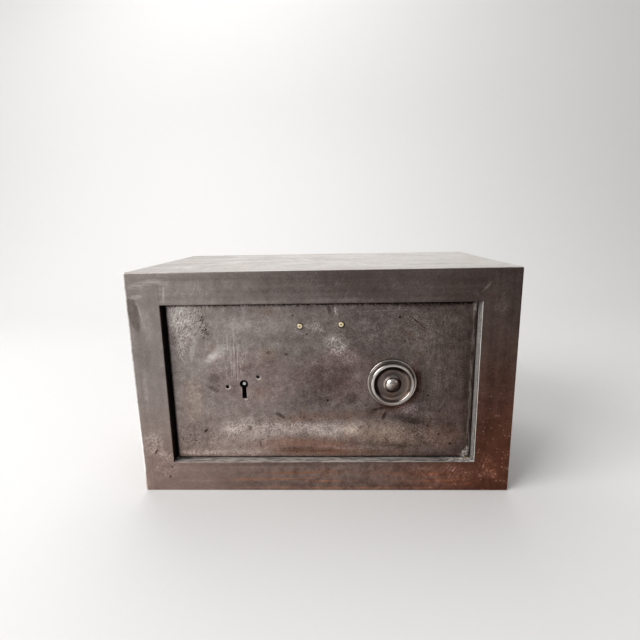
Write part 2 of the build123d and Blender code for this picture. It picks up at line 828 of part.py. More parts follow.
# Screws, in groups that share a node
def screw_groups():
    guide_seat = door_back_y + guide_thickness
    guide_length = guide_thickness + thread_depth - screw_end_gap
    lock_length = lock_wall + thread_depth - screw_end_gap
    arm_length = bar_thickness + arm_thickness - screw_end_gap
    bolt_screw_length = bar_thickness + thread_depth - screw_end_gap
    cap_y = lock_cap_y + lock_wall
    groups = {
        "guide_screws": (guide_screw_places(), guide_seat, large_screw, guide_length),
        "lock_screws": (lock_screw_places(), lock_floor_y, medium_screw, lock_length),
        "cap_screws": (lock_posts(), cap_y, small_screw, lock_length),
        "bolt_screws": (bolt_screw_places(), bar_back_y, large_screw, bolt_screw_length),
        "arm_screws": (arm_screw_places(), bar_back_y, large_screw, arm_length),
    }
    return {
        name: group(screw(x, z, seat_y, size, length) for x, z in places)
        for name, (places, seat_y, size, length) in groups.items()
    }


def whole_safe():
    parts = {}
    parts.update(frame_bars())
    parts.update(case_plates())
    parts.update(rebate_strips())
    parts.update(liners())
    parts["strike_angle"] = strike_angle()
    parts["fire_fill"] = fire_fill()
    parts["pivot_washer"] = pivot_washer()
    parts["door_plate"] = door_plate()
    parts["nameplate_rivets"] = group(rivet(x, z) for x, z in rivet_places())
    parts.update(hinge_pins())
    parts["knob_rose"] = knob_rose()
    parts["spindle_bush"] = spindle_bush()
    parts["bolt_guide_angle"] = bolt_guide_angle()
    parts["arm_guide_stud"] = arm_guide_stud()
    parts["lock_case"] = lock_case()
    parts["lock_cap"] = lock_cap()
    parts["drill_pin"] = drill_pin()
    parts["lever_pivot"] = lever_pivot()
    parts["lever_springs"] = group(lever_spring(i) for i in range(lever_count))
    for i in range(lever_count):
        parts[f"lever_{i + 1}"] = lever(i)
    parts["lock_bolt"] = lock_bolt()
    parts["bolt_stump"] = bolt_stump()
    parts["knob"] = knob()
    parts["knob_boss"] = knob_boss()
    parts["spindle"] = spindle()
    parts["wave_washer"] = wave_washer()
    parts["crank"] = crank()
    parts["crank_pin"] = crank_pin()
    parts["bolt_bar"] = bolt_bar()
    parts["bolt_lower"] = bolt(bolt_heights[0])
    parts["bolt_upper"] = bolt(bolt_heights[1])
    parts["throw_arm"] = throw_arm()
    parts.update(screw_groups())
    return parts


os.makedirs("parts", exist_ok=True)
for name, shape in whole_safe().items():
    export_step(shape, f"parts/{name}.step")
print(f"hinge axis {hinge_x:.3f} {hinge_y:.3f}, knob axis {knob_x:.3f} {control_z:.3f}")
print(f"lever pivot {lever_pivot_x:.3f} {lock_bolt_z:.3f}, key axis {key_x:.3f}")
print(f"bolt throw {bolt_throw:.3f}, door face {door_face_y:.3f}")
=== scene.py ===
# A small stripped steel safe: bare brushed case, recessed door, dished knob, lever lock.
import json
import math

import bmesh
import bpy
from mathutils import Matrix, Vector, noise as mathNoise


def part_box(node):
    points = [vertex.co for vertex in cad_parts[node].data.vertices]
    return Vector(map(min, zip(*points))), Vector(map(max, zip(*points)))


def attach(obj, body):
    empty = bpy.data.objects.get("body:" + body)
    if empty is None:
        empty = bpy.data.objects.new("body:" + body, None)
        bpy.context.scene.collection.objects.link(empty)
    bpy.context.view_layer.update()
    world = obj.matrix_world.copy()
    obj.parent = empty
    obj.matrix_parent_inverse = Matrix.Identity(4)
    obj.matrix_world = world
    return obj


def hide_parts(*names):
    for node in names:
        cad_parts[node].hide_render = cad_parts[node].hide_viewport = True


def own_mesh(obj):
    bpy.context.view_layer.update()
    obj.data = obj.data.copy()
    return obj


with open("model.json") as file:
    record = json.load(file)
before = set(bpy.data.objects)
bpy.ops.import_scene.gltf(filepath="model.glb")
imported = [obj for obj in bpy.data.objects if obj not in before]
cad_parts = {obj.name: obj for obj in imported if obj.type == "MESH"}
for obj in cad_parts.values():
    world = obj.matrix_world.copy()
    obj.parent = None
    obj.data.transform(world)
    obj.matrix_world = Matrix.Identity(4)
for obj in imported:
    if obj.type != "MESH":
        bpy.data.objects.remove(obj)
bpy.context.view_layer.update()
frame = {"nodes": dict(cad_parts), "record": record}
nodes = frame["nodes"]
mm = 0.001
print("frame loaded,", len(nodes), "nodes")

# Places that the new pieces and the finishes share, read from the frame
openLeft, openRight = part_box("frame_left_bar")[1].x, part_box("frame_right_bar")[0].x
openBottom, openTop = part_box("frame_bottom_bar")[1].z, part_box("frame_top_bar")[0].z
frontY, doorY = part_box("frame_left_bar")[0].y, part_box("door_plate")[0].y
roseLow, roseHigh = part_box("knob_rose")
knobCentre = (roseLow + roseHigh) / 2

# The same in millimetres, for the finishes alone
opening = {"left": openLeft / mm, "right": openRight / mm, "bottom": openBottom / mm, "top": openTop / mm}
frontMm, doorMm = frontY / mm, doorY / mm
knobX, knobZ = knobCentre.x / mm, knobCentre.z / mm
doorLow, doorHigh = [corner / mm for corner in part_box("door_plate")]
drillLow, drillHigh = [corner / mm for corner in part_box("drill_pin")]
rivetLow, rivetHigh = [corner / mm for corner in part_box("nameplate_rivets")]
keyX, keyZ = (drillLow.x + drillHigh.x) / 2, (drillLow.z + drillHigh.z) / 2


# Camera at the photograph's viewing angle
cameraSetup = {
    "place": (0.0139, -0.5637, 0.2899),
    "right": (0.99938, 0.03014, -0.01831),
    "up": (0.0115, 0.21213, 0.97717),
    "back": (0.03333, -0.97678, 0.21165),
    "lens": 25.3,
    "sensor": 36,
    "nearest": 0.01,
}


def addCamera(setup):
    data = bpy.data.cameras.new("photoCamera")
    data.sensor_width = setup["sensor"]
    data.lens = setup["lens"]
    data.clip_start = setup["nearest"]
    camera = bpy.data.objects.new("photoCamera", data)
    bpy.context.scene.collection.objects.link(camera)
    turn = Matrix((setup["right"], setup["up"], setup["back"])).transposed()
    camera.matrix_world = Matrix.Translation(setup["place"]) @ turn.to_4x4()
    bpy.context.scene.camera = camera


addCamera(cameraSetup)
bpy.context.scene.view_settings.view_transform = "Standard"
print("camera placed")


# Node helpers: a value may be a number, a colour or another node's socket
def plug(socket, value):
    if isinstance(value, bpy.types.NodeSocket):
        socket.id_data.links.new(value, socket)
    else:
        socket.default_value = value


# A node in the tree that the first socket among its inputs belongs to
def addNode(kind, inputs, **settings):
    sockets = [value for value in inputs.values() if isinstance(value, bpy.types.NodeSocket)]
    node = sockets[0].id_data.nodes.new(kind)
    for name, value in settings.items():
        setattr(node, name, value)
    for key, value in inputs.items():
        plug(node.inputs[key], value)
    return node


def calc(operation, a, b=0, c=0):
    return addNode("ShaderNodeMath", {0: a, 1: b, 2: c}, operation=operation).outputs[0]


# One operation over all values, from the first to the last
def fold(operation, values):
    total = values[0]
    for value in values[1:]:
        total = calc(operation, total, value)
    return total


def times(*values):
    return fold("MULTIPLY", values)


def addUp(*values):
    return fold("ADD", values)


def minus(a, b):
    return calc("SUBTRACT", a, b)


def most(*values):
    return fold("MAXIMUM", values)


# A tone, or a height, changed by so much where the mask is 1
def changed(tone, mask, change):
    return calc("MULTIPLY_ADD", mask, change, tone)


# How far a noise is from its middle, times a weight
def weigh(value, weight):
    return times(minus(value, 0.5), weight)


def mixColor(factor, a, b, **settings):
    inputs = {0: factor, 6: a, 7: b}
    return addNode("ShaderNodeMix", inputs, data_type="RGBA", clamp_factor=True, **settings).outputs[2]


def tinted(color, mask, tint):
    return mixColor(mask, color, (*tint, 1), blend_type="MULTIPLY")


# Every range in the settings is two values and what they become, 0 and 1 where it doesn't say
def spread(value, low, high, to0=0, to1=1, smooth=False):
    kind = "SMOOTHSTEP" if smooth else "LINEAR"
    inputs = {"Value": value, "From Min": low, "From Max": high, "To Min": to0, "To Max": to1}
    return addNode("ShaderNodeMapRange", inputs, interpolation_type=kind, clamp=True).outputs[0]


def moved(vector, place=(0, 0, 0), turn=(0, 0, 0), size=(1, 1, 1), kind="TEXTURE"):
    inputs = {"Vector": vector, "Location": place, "Rotation": turn, "Scale": size}
    return addNode("ShaderNodeMapping", inputs, vector_type=kind).outputs[0]


# Every noise in the settings is its scale, detail, roughness and twist, after the size it is stretched to
def noise(vector, scale, detail=4, rough=0.55, twist=0):
    inputs = {"Vector": vector, "Scale": scale, "Detail": detail, "Roughness": rough, "Distortion": twist}
    return addNode("ShaderNodeTexNoise", inputs).outputs["Fac"]


def stretched(vector, size, *settings):
    return noise(moved(vector, size=size), *settings)


def ramp(value, stops):
    node = addNode("ShaderNodeValToRGB", {"Fac": value})
    elements = node.color_ramp.elements
    while len(elements) < len(stops):
        elements.new(0.5)
    for element, (place, color) in zip(elements, stops):
        element.position = place
        element.color = (*color, 1)
    return node.outputs["Color"]


# Straight lines from stop to stop, as a plain value
def levels(value, stops):
    total = stops[0][1]
    for (start, low), (end, high) in zip(stops, stops[1:]):
        total = addUp(spread(value, start, end, 0, high - low), total)
    return total


# Object coordinates in millimetres, whole and one by one
def coordinates(shader):
    source = shader.id_data.nodes.new("ShaderNodeTexCoord").outputs["Object"]
    scaled = addNode("ShaderNodeVectorMath", {0: source, "Scale": 1 / mm}, operation="SCALE").outputs[0]
    parts = addNode("ShaderNodeSeparateXYZ", {0: scaled}).outputs
    return scaled, parts[0], parts[1], parts[2]


def newMaterial(name):
    material = bpy.data.materials.new(name)
    material.use_nodes = True
    tree = material.node_tree
    tree.nodes.clear()
    shader = tree.nodes.new("ShaderNodeBsdfPrincipled")
    plug(tree.nodes.new("ShaderNodeOutputMaterial").inputs[0], shader.outputs[0])
    return material, shader


def setShader(shader, color, rough, metallic=0):
    plug(shader.inputs["Base Color"], color)
    plug(shader.inputs["Roughness"], rough)
    plug(shader.inputs["Metallic"], metallic)


def bump(shader, height, strength, depth=0.0002):
    inputs = {"Height": height, "Strength": strength, "Distance": depth}
    plug(shader.inputs["Normal"], addNode("ShaderNodeBump", inputs).outputs[0])


# Fine lines of one direction on a face, sparse and of uneven length; each seed shifts their noise
lineLook = {"shift": (37, 11, 53), "noise": (1, 1, 0.4), "middle": 0.5, "sparse": 0.22, "soft": 0.07}


def scratchLines(vector, angle, spacing, length, amount, seed):
    place = [seed * step for step in lineLook["shift"]]
    turned = moved(vector, place=place, turn=(0, angle, 0), size=(length, spacing, spacing))
    edge = lineLook["middle"] + lineLook["sparse"] * (1 - amount)
    return spread(noise(turned, *lineLook["noise"]), edge, edge + lineLook["soft"])


# A soft-edged ellipse on the front: plane is X and Z; place, half sizes and angle as seen from the front.
# Plain numbers only, since each vector node would stay open and a big material would run full.
def patch(plane, place, size, angle=0, inner=0.2):
    cosine, sine = math.cos(math.radians(angle)), math.sin(math.radians(angle))
    squares = []
    for across, up, half in ((cosine, sine, size[0]), (-sine, cosine, size[1])):
        away = -(place[0] * across + place[1] * up) / half
        for coordinate, part in zip(plane, (across, up)):
            if abs(part) > 1e-6:
                away = calc("MULTIPLY_ADD", coordinate, part / half, away)
        squares.append(times(away, away))
    return spread(addUp(*squares), inner * inner, 1, 1, 0, smooth=True)


# How close a coordinate is to a line, 1 on it and 0 at the reach
def nearLine(value, line, reach):
    away = calc("ABSOLUTE", minus(value, line))
    return spread(away, 0, reach, 1, 0)


# How far two coordinates are from a point
def distance(x, z, point):
    dx = minus(x, point[0])
    dz = minus(z, point[1])
    return calc("SQRT", addUp(times(dx, dx), times(dz, dz))), dx, dz


# Small round specks: how many per millimetre, and how large, which may vary over the face
def dots(vector, density, size):
    cells = addNode("ShaderNodeTexVoronoi", {"Vector": vector, "Scale": density, "Randomness": 1})
    return calc("LESS_THAN", cells.outputs["Distance"], size)


# Steel tones from pitted black to rubbed bright
steelTones = [
    (0, (0.01, 0.007, 0.006)),
    (0.2, (0.052, 0.039, 0.035)),
    (0.4, (0.132, 0.106, 0.098)),
    (0.6, (0.272, 0.234, 0.219)),
    (0.8, (0.465, 0.428, 0.404)),
    (1, (0.745, 0.71, 0.676)),
]

# One steel finish: its tone from left to right, which is painted light and shade falling off across the
# face, the grain's direction, the layers' weights and wear
caseSteel = {
    "lightAcross": [
        (0, 0.56), (0.1, 0.555), (0.18, 0.55), (0.38, 0.44), (0.52, 0.38), (0.75, 0.32), (1, 0.27),
    ],
    "grain": (0.02, 1, 1), "cloud": 0.1, "mottle": 0.08, "streak": 0.1, "fine": 0.05, "grit": 0.07,
    "scratches": 0.12, "pits": 0.25, "rust": 0.22, "warmth": 1, "rough": (0.36, 0.5), "bump": 0.22,
    "edges": [("x", -200, 0.6, 2.6), ("x", 200, -0.12, 1.2), ("z", 0, 0.16, 1.8), ("z", 244, -0.05, 1.2)],
}

# What the layers of every steel face share
steelNoises = {
    "cloud": (0.02, 3, 0.5, 0.6), "mottle": (0.12, 5, 0.62, 0.3), "streak": (0.16, 5, 0.62),
    "fine": (1.1, 3, 0.6), "grit": (0.48, 4, 0.72, 0.4),
}
steelRelief = {"streak": 0.4, "fine": 0.35, "mottle": 0.6, "grit": 0.8}
steelLines = {"angles": (0.35, 1.15, 2.1, 2.8), "size": (0.5, 16, 0.45), "groups": (0.03, 2), "relief": -0.5}
steelPits = {"density": 0.085, "groups": (0.06, 2), "size": (0.52, 0.75, 0, 0.08), "relief": -1.5}
faceWidth = (-200, 200)


# Layers that every steel face has; returns the tone, the bump's height and two noises
def steelLayers(vector, x, settings):
    along = moved(vector, size=settings["grain"], kind="POINT")
    layers = {}
    for name, look in steelNoises.items():
        source = along if name == "streak" else vector
        layers[name] = noise(source, *settings.get(name + "Noise", look))
    lines = [
        scratchLines(vector, angle, *steelLines["size"], seed)
        for seed, angle in enumerate(steelLines["angles"])
    ]
    scratches = times(addUp(*lines), noise(vector, *steelLines["groups"]))
    pitSize = spread(noise(vector, *steelPits["groups"]), *steelPits["size"])
    pits = dots(vector, steelPits["density"], pitSize)
    # The tone from left to right across the face is painted light and shade, not a change in the steel
    tone = addUp(
        levels(spread(x, *faceWidth), settings["lightAcross"]),
        *[weigh(value, settings[name] * 2) for name, value in layers.items()],
        times(scratches, settings["scratches"]), times(pits, -settings["pits"]),
    )
    height = addUp(
        *[weigh(layers[name], weight) for name, weight in steelRelief.items()],
        times(scratches, steelLines["relief"]), times(pits, steelPits["relief"]),
    )
    return tone, height, layers["grit"], layers["mottle"]


# Edges along the front of the case, partly scuffed wear and partly painted light: a painted highlight on the
# left edge, painted shade on the right; axis, place, change of tone, reach
edgeLook = {"reach": 2.2, "broken": (0.3, 0.5, 0.25, 1)}


def edgeWearAndLight(axes, y, mottle, edges):
    front = nearLine(y, frontMm, edgeLook["reach"])
    front = times(front, spread(mottle, *edgeLook["broken"]))
    lines = [
        times(nearLine(axes[axis], place, reach), front, change)
        for axis, place, change, reach in edges
    ]
    return addUp(*lines)


# Painted warm reflection: the lower and right parts of the front are tinted warmer, and the lower right
# brown, as a reflection of a brown surface nearby
warmLook = {"low": (130, 10, 0, 0.55), "right": (60, 200, 0, 0.7), "rise": (240, 60, 0.2, 1)}
brownLook = {"right": (20, 190), "rise": (220, 30, 0)}


def warmReflectionMask(x, z, amount):
    low = spread(z, *warmLook["low"], smooth=True)
    right = spread(x, *warmLook["right"], smooth=True)
    right = times(right, spread(z, *warmLook["rise"]))
    return times(most(low, right), amount)


def brownReflectionMask(x, z, amount):
    right = spread(x, *brownLook["right"], smooth=True)
    return times(right, spread(z, *brownLook["rise"], amount, smooth=True))


rustLook = {"noise": (0.03, 5, 0.66, 0.4), "from": 0.64, "to": 0.86, "earlier": (0.2, 0.1), "most": 0.8}


def rustMask(vector, amount, seed=0):
    value = noise(moved(vector, place=(seed, seed * 2, seed * 3)), *rustLook["noise"])
    start = rustLook["from"] - rustLook["earlier"][0] * amount
    end = rustLook["to"] - rustLook["earlier"][1] * amount
    return spread(value, start, end, 0, rustLook["most"])


warmTint = (1.12, 0.8, 0.68)
brownTint = (1.22, 0.74, 0.56)
rustTint = (0.92, 0.68, 0.54)
streakTint = (1.16, 0.83, 0.6)
knobShadowTint = (1.12, 0.76, 0.66)
speckTint = (0.9, 1.12, 1.28)

# How much less metallic and how much rougher a dull coating is, and the tones that are rough and smooth
coatLook = {"duller": 0.9, "rougher": 0.2}
smoothTones = (0.2, 0.8)


# The coat says how much of the surface is dull coating instead of bare metal, and may be None
def finishSteel(shader, tone, height, settings, tints, coat, coatColor):
    color = ramp(tone, steelTones)
    for mask, tint in tints:
        color = tinted(color, mask, tint)
    smooth, rough = settings["rough"]
    roughness = spread(tone, *smoothTones, rough, smooth)
    metallic = 1
    if coat is not None:
        color = mixColor(coat, color, coatColor)
        metallic = minus(1, times(coat, coatLook["duller"]))
        roughness = changed(roughness, coat, coatLook["rougher"])
    setShader(shader, color, roughness, metallic)
    bump(shader, height, settings["bump"])


# Marks on the frame's front: place and half sizes in millimetres, angle, change of tone, what breaks them up
# unless they are plain and, where the edge is sharper than usual, how much of the ellipse is full
frameMarks = [
    ((-180, 232), (22, 5), 12, 0.16, "brush"), ((-190, 219), (10, 3.4), 5, 0.16, "brush"),
    ((-160, 230), (24, 9), 80, 0.08, "brush"), ((-193, 202), (6.5, 22), 9, -0.11, "plain", 0.72),
    ((-180, 190), (9, 24), 16, 0.06), ((-186, 203), (0.8, 16), 12, 0.09),
    ((-186, 165), (7, 30), 6, -0.05, "cloud"), ((-165.6, 222), (1.2, 14), 2, -0.09),
    ((-160, 221), (1.3, 12), -6, 0.14), ((-189, 116), (3, 30), 0, 0.06, "cloud"),
    ((-186, 56), (14, 20), 15, 0.14, "grain"), ((-172, 42), (11, 7), -10, 0.16, "grain"),
    ((-184, 47), (1.6, 4.4), -30, -0.36), ((-175, 26), (20, 14), 10, 0.08, "grain"),
    ((-171, 17), (1.4, 2.4), 0, -0.22), ((-168, 29), (1.6, 2.2), 20, -0.22),
    ((-140, 12), (22, 5), 0, 0.06, "brush"), ((-110, 228), (60, 12), 4, 0.05, "cloud"),
    ((-60, 214), (130, 4), 0, 0.05, "cloud"), ((60, 214), (90, 4), 0, 0.05, "cloud"),
    ((165, 225), (1.8, 8), -40, 0.16), ((155, 217), (4, 3), 0, 0.12, "grain"),
    ((180, 205), (10, 12), 0, 0.07, "grain"), ((55, 17), (165, 24), 0, 0.12, "cloud"),
    ((130, 17), (60, 16), 0, 0.05, "grain"), ((177, 30), (12, 22), 30, 0.14, "grain"),
    ((181, 24), (3.4, 1.6), 20, 0.24), ((172, 30), (1.4, 3.4), -20, 0.22), ((184, 16), (2, 1.2), 10, 0.2),
    ((181, 118), (17, 62), 0, -0.045), ((181, 218), (17, 24), 0, 0.025), ((141, 26), (1, 6), -25, 0.2),
    ((-60, 26), (120, 6), 1, 0.05, "cloud"),
]
rustStreaks = [
    ((-50, 14.5), (80, 2.2), 1.4, 0.09, "brush"), ((10, 11.4), (46, 1.8), 0.5, 0.08, "brush"),
    ((124, 12.5), (48, 2.2), 1.5, 0.1, "brush"), ((150, 8.5), (24, 1.6), 0, 0.08, "brush"),
    ((20, 3.2), (150, 1.8), 0, 0.12, "cloud"), ((90, 21), (70, 2.6), -1, 0.05, "brush"),
    ((-20, 22), (60, 2.4), 1, 0.04, "brush"),
]


# A mark's mask, and the change of tone or the tint that goes with it
def maskOf(plane, textures, place, size, angle, change, kind="plain", *inner):
    return times(patch(plane, place, size, angle, *inner), textures[kind]), change


def addMarks(plane, tone, marks, textures):
    for mark in marks:
        tone = changed(tone, *maskOf(plane, textures, *mark))
    return tone


# Short strokes: zone, half sizes, angle, lean in radians, width, length, how many, change of tone
def addStrokes(vector, plane, tone, strokes, firstSeed, face):
    for seed, (place, size, angle, *lines, change) in enumerate(strokes, firstSeed):
        area = times(patch(plane, place, size, angle), face)
        tone = changed(tone, times(scratchLines(vector, *lines, seed), area), change)
    return tone


# Ways in which a mark is broken up, each limited to where a face is
textureLook = {
    "cloud": (0.26, 0.56), "grain": (0.36, 0.6, -0.25, 1.5), "grainGroups": (0.3, 0.5),
    "brushNoise": ((12, 1, 1), 0.55, 4, 0.6), "brush": (0.36, 0.62, 0, 1.2),
}


def markTextures(vector, grit, mottle, face):
    brush = stretched(vector, *textureLook["brushNoise"])
    grain = times(spread(grit, *textureLook["grain"]), spread(mottle, *textureLook["grainGroups"]))
    return {
        "plain": face,
        "cloud": times(spread(mottle, *textureLook["cloud"]), face),
        "grain": times(grain, face),
        "brush": times(spread(brush, *textureLook["brush"]), face),
    }


# The walls of the recess round the door: pale filler on the right, a scuffed pale ledge, painted shade on
# the left and top walls, dark streaks on the others, and a painted highlight on the right wall's front edge.
# Depths are millimetres behind the frame's front.
recessLook = {
    "inside": (0.35, 0.9), "margin": 1, "reach": 0.6, "lumpNoise": ((1, 1, 5), 0.55, 5, 0.68),
    "lumps": (0.38, 0.6, 0.35, 1), "lumpsByHeight": (60, 180, 0.66, 1.12),
    "fillerByDepth": [(1.6, 1), (2.8, 0.5), (5, 0.45), (9, 0.32)], "streaked": (0.4, 0.85, 0.8, 0),
    "dragNoise": ((6, 1, 1), 0.45, 5, 0.65), "ledge": (0.38, 0.54, 0.35, 1),
    "ledgeByDepth": (1.2, 3, 1, 0.72), "ledgeAcross": (60, 140, 1, 0.66), "dragged": (0.42, 0.52, 0.7, 0),
    "crumbNoise": (0.55, 4, 0.7), "crumbs": (0.46, 0.55, 0, 1.2), "crumbsAcross": (90, 150, 0, 0.9),
    "line": (1.8, 2.8, 1, 0), "lineBroken": (0.34, 0.5, 0.6, 1),
}


# 1 between two edges of the opening and the margin beyond them, 0 elsewhere
def within(value, low, high):
    away = calc("ABSOLUTE", minus(value, (low + high) / 2))
    return calc("LESS_THAN", away, (high - low) / 2 + recessLook["margin"])


def recessWalls(x, z, depth, vector):
    look = recessLook
    across = within(x, opening["left"], opening["right"])
    upright = within(z, opening["bottom"], opening["top"])
    inside = times(spread(depth, *look["inside"]), times(across, upright))
    walls = {
        name: times(nearLine(axis, opening[name], look["reach"]), inside)
        for name, axis in {"left": x, "right": x, "top": z, "bottom": z}.items()
    }
    lumps = spread(stretched(vector, *look["lumpNoise"]), *look["lumps"])
    lumps = times(lumps, spread(z, *look["lumpsByHeight"]))
    drag = stretched(vector, *look["dragNoise"])
    arris = times(spread(depth, *look["ledgeByDepth"]), spread(x, *look["ledgeAcross"]))
    crumbs = spread(noise(vector, *look["crumbNoise"]), *look["crumbs"])
    crumbs = times(crumbs, spread(x, *look["crumbsAcross"]))
    ledge = most(times(spread(drag, *look["ledge"]), arris), crumbs)
    filler = times(walls["right"], lumps, levels(depth, look["fillerByDepth"]))
    coat = most(filler, times(walls["bottom"], ledge))
    dragged = times(walls["bottom"], spread(drag, *look["dragged"]))
    streaked = times(walls["right"], spread(lumps, *look["streaked"]))
    # Painted shade: the left and top walls of the recess are darkened; the streaks on the bottom and right
    # walls are dirt
    shadeAndStreaks = most(most(walls["left"], walls["top"]), most(dragged, streaked))
    # Painted highlight: a bright broken line along the front edge of the right wall
    line = times(walls["right"], spread(depth, *look["line"]), spread(drag, *look["lineBroken"]))
    return coat, shadeAndStreaks, line


# Painted highlight: a bright, slightly wavy line on the outer left edge of the front, where it would catch
# the light
edgeLine = {
    "x": -200, "waveNoise": ((1, 1, 5), 0.25, 4, 0.6), "width": (0.3, 0.7, 0.9, 2.2),
    "widthByHeight": (130, 70, 0.7, 1.5), "edge": (0.55, 1, 1, 0), "depth": (1.2, 2.4, 1, 0),
    "upper": (150, 80, 0.45, 1), "foot": (8, 22, 0.3, 0.95),
}


def edgeHighlight(x, z, depth, vector):
    wave = stretched(vector, *edgeLine["waveNoise"])
    width = times(spread(wave, *edgeLine["width"]), spread(z, *edgeLine["widthByHeight"]))
    away = calc("DIVIDE", minus(x, edgeLine["x"]), width)
    return times(
        spread(away, *edgeLine["edge"]), spread(depth, *edgeLine["depth"]),
        spread(z, *edgeLine["upper"]), spread(z, *edgeLine["foot"]),
    )


frameStrokes = [
    ((-128, 226), (44, 13), 0, -1.25, 0.8, 9, 0.8, 0.06),
    ((30, 226), (120, 12), 0, -0.9, 0.8, 9, 0.8, 0.06),
    ((140, 22), (50, 16), 0, -1.1, 0.8, 9, 0.8, 0.1),
]
frameWear = {
    "strokeSeed": 20, "side": {"back": 83, "beyond": (199.2, 199.8), "below": (243.9, 243.2)},
    "upper": (243, 243.8), "upperTone": [(-200, 0.21), (-120, 0.25), (-50, 0.38), (100, 0.56), (200, 0.72)],
    "filler": (0.64, 0.6, 0.56, 1), "bright": (0.93, 0.9, 0.87, 1), "shadeAndStreaks": -0.5, "speckDensity": 0.3,
    "speckGroups": (0.42, 0.6, 0, 0.34), "specks": 0.24,
}
faceDepth = (0.3, 1.5, 1, 0)


# Where the narrow sides of the top plate are, below its broad face
def sideMask(x, y, z, settings):
    beyond = most(calc("ABSOLUTE", x), addUp(y, settings["back"]))
    return times(spread(beyond, *settings["beyond"]), spread(z, *settings["below"]))


def caseMaterial(name, changes, front=False):
    settings = dict(caseSteel, **changes)
    wear = frameWear
    material, shader = newMaterial(name)
    vector, x, y, z = coordinates(shader)
    tone, height, grit, mottle = steelLayers(vector, x, settings)
    tone = addUp(tone, edgeWearAndLight({"x": x, "z": z}, y, mottle, settings["edges"]))
    tints = [
        (warmReflectionMask(x, z, settings["warmth"]), warmTint),
        (brownReflectionMask(x, z, settings["warmth"]), brownTint),
        (rustMask(vector, settings["rust"]), rustTint),
    ]
    coat, coatColor = None, None
    if "sides" in settings:
        tone = changed(tone, sideMask(x, y, z, wear["side"]), settings["sides"])
    if front:
        depth = minus(y, frontMm)
        face = spread(depth, *faceDepth)
        textures = markTextures(vector, grit, mottle, face)
        tone = addMarks((x, z), tone, frameMarks, textures)
        tone = addStrokes(vector, (x, z), tone, frameStrokes, wear["strokeSeed"], 1)
        for streak in rustStreaks:
            mask, change = maskOf((x, z), textures, *streak)
            tone = changed(tone, mask, change)
            tints.append((mask, streakTint))
        # The top millimetre of the front is painted to the top plate's lighter sheen, rising to the right
        upper = spread(z, *wear["upper"])
        tone = addUp(tone, times(levels(x, wear["upperTone"]), upper))
        dull = minus(1, upper)
        tints = [(times(mask, dull), tint) for mask, tint in tints]
        coat, shadeAndStreaks, line = recessWalls(x, z, depth, vector)
        # Painted highlights: the left edge's line and the right wall's line, drawn as a bright dull coat
        wearAndHighlight = most(edgeHighlight(x, z, depth, vector), line)
        coat = most(coat, wearAndHighlight)
        coatColor = mixColor(wearAndHighlight, wear["filler"], wear["bright"])
        tone = changed(tone, shadeAndStreaks, wear["shadeAndStreaks"])
        speckSize = times(brownReflectionMask(x, z, 1), spread(mottle, *wear["speckGroups"]))
        specks = times(dots(vector, wear["speckDensity"], speckSize), face)
        tone = changed(tone, specks, wear["specks"])
        tints.append((specks, speckTint))
    finishSteel(shader, tone, height, settings, tints, coat, coatColor)
    return material
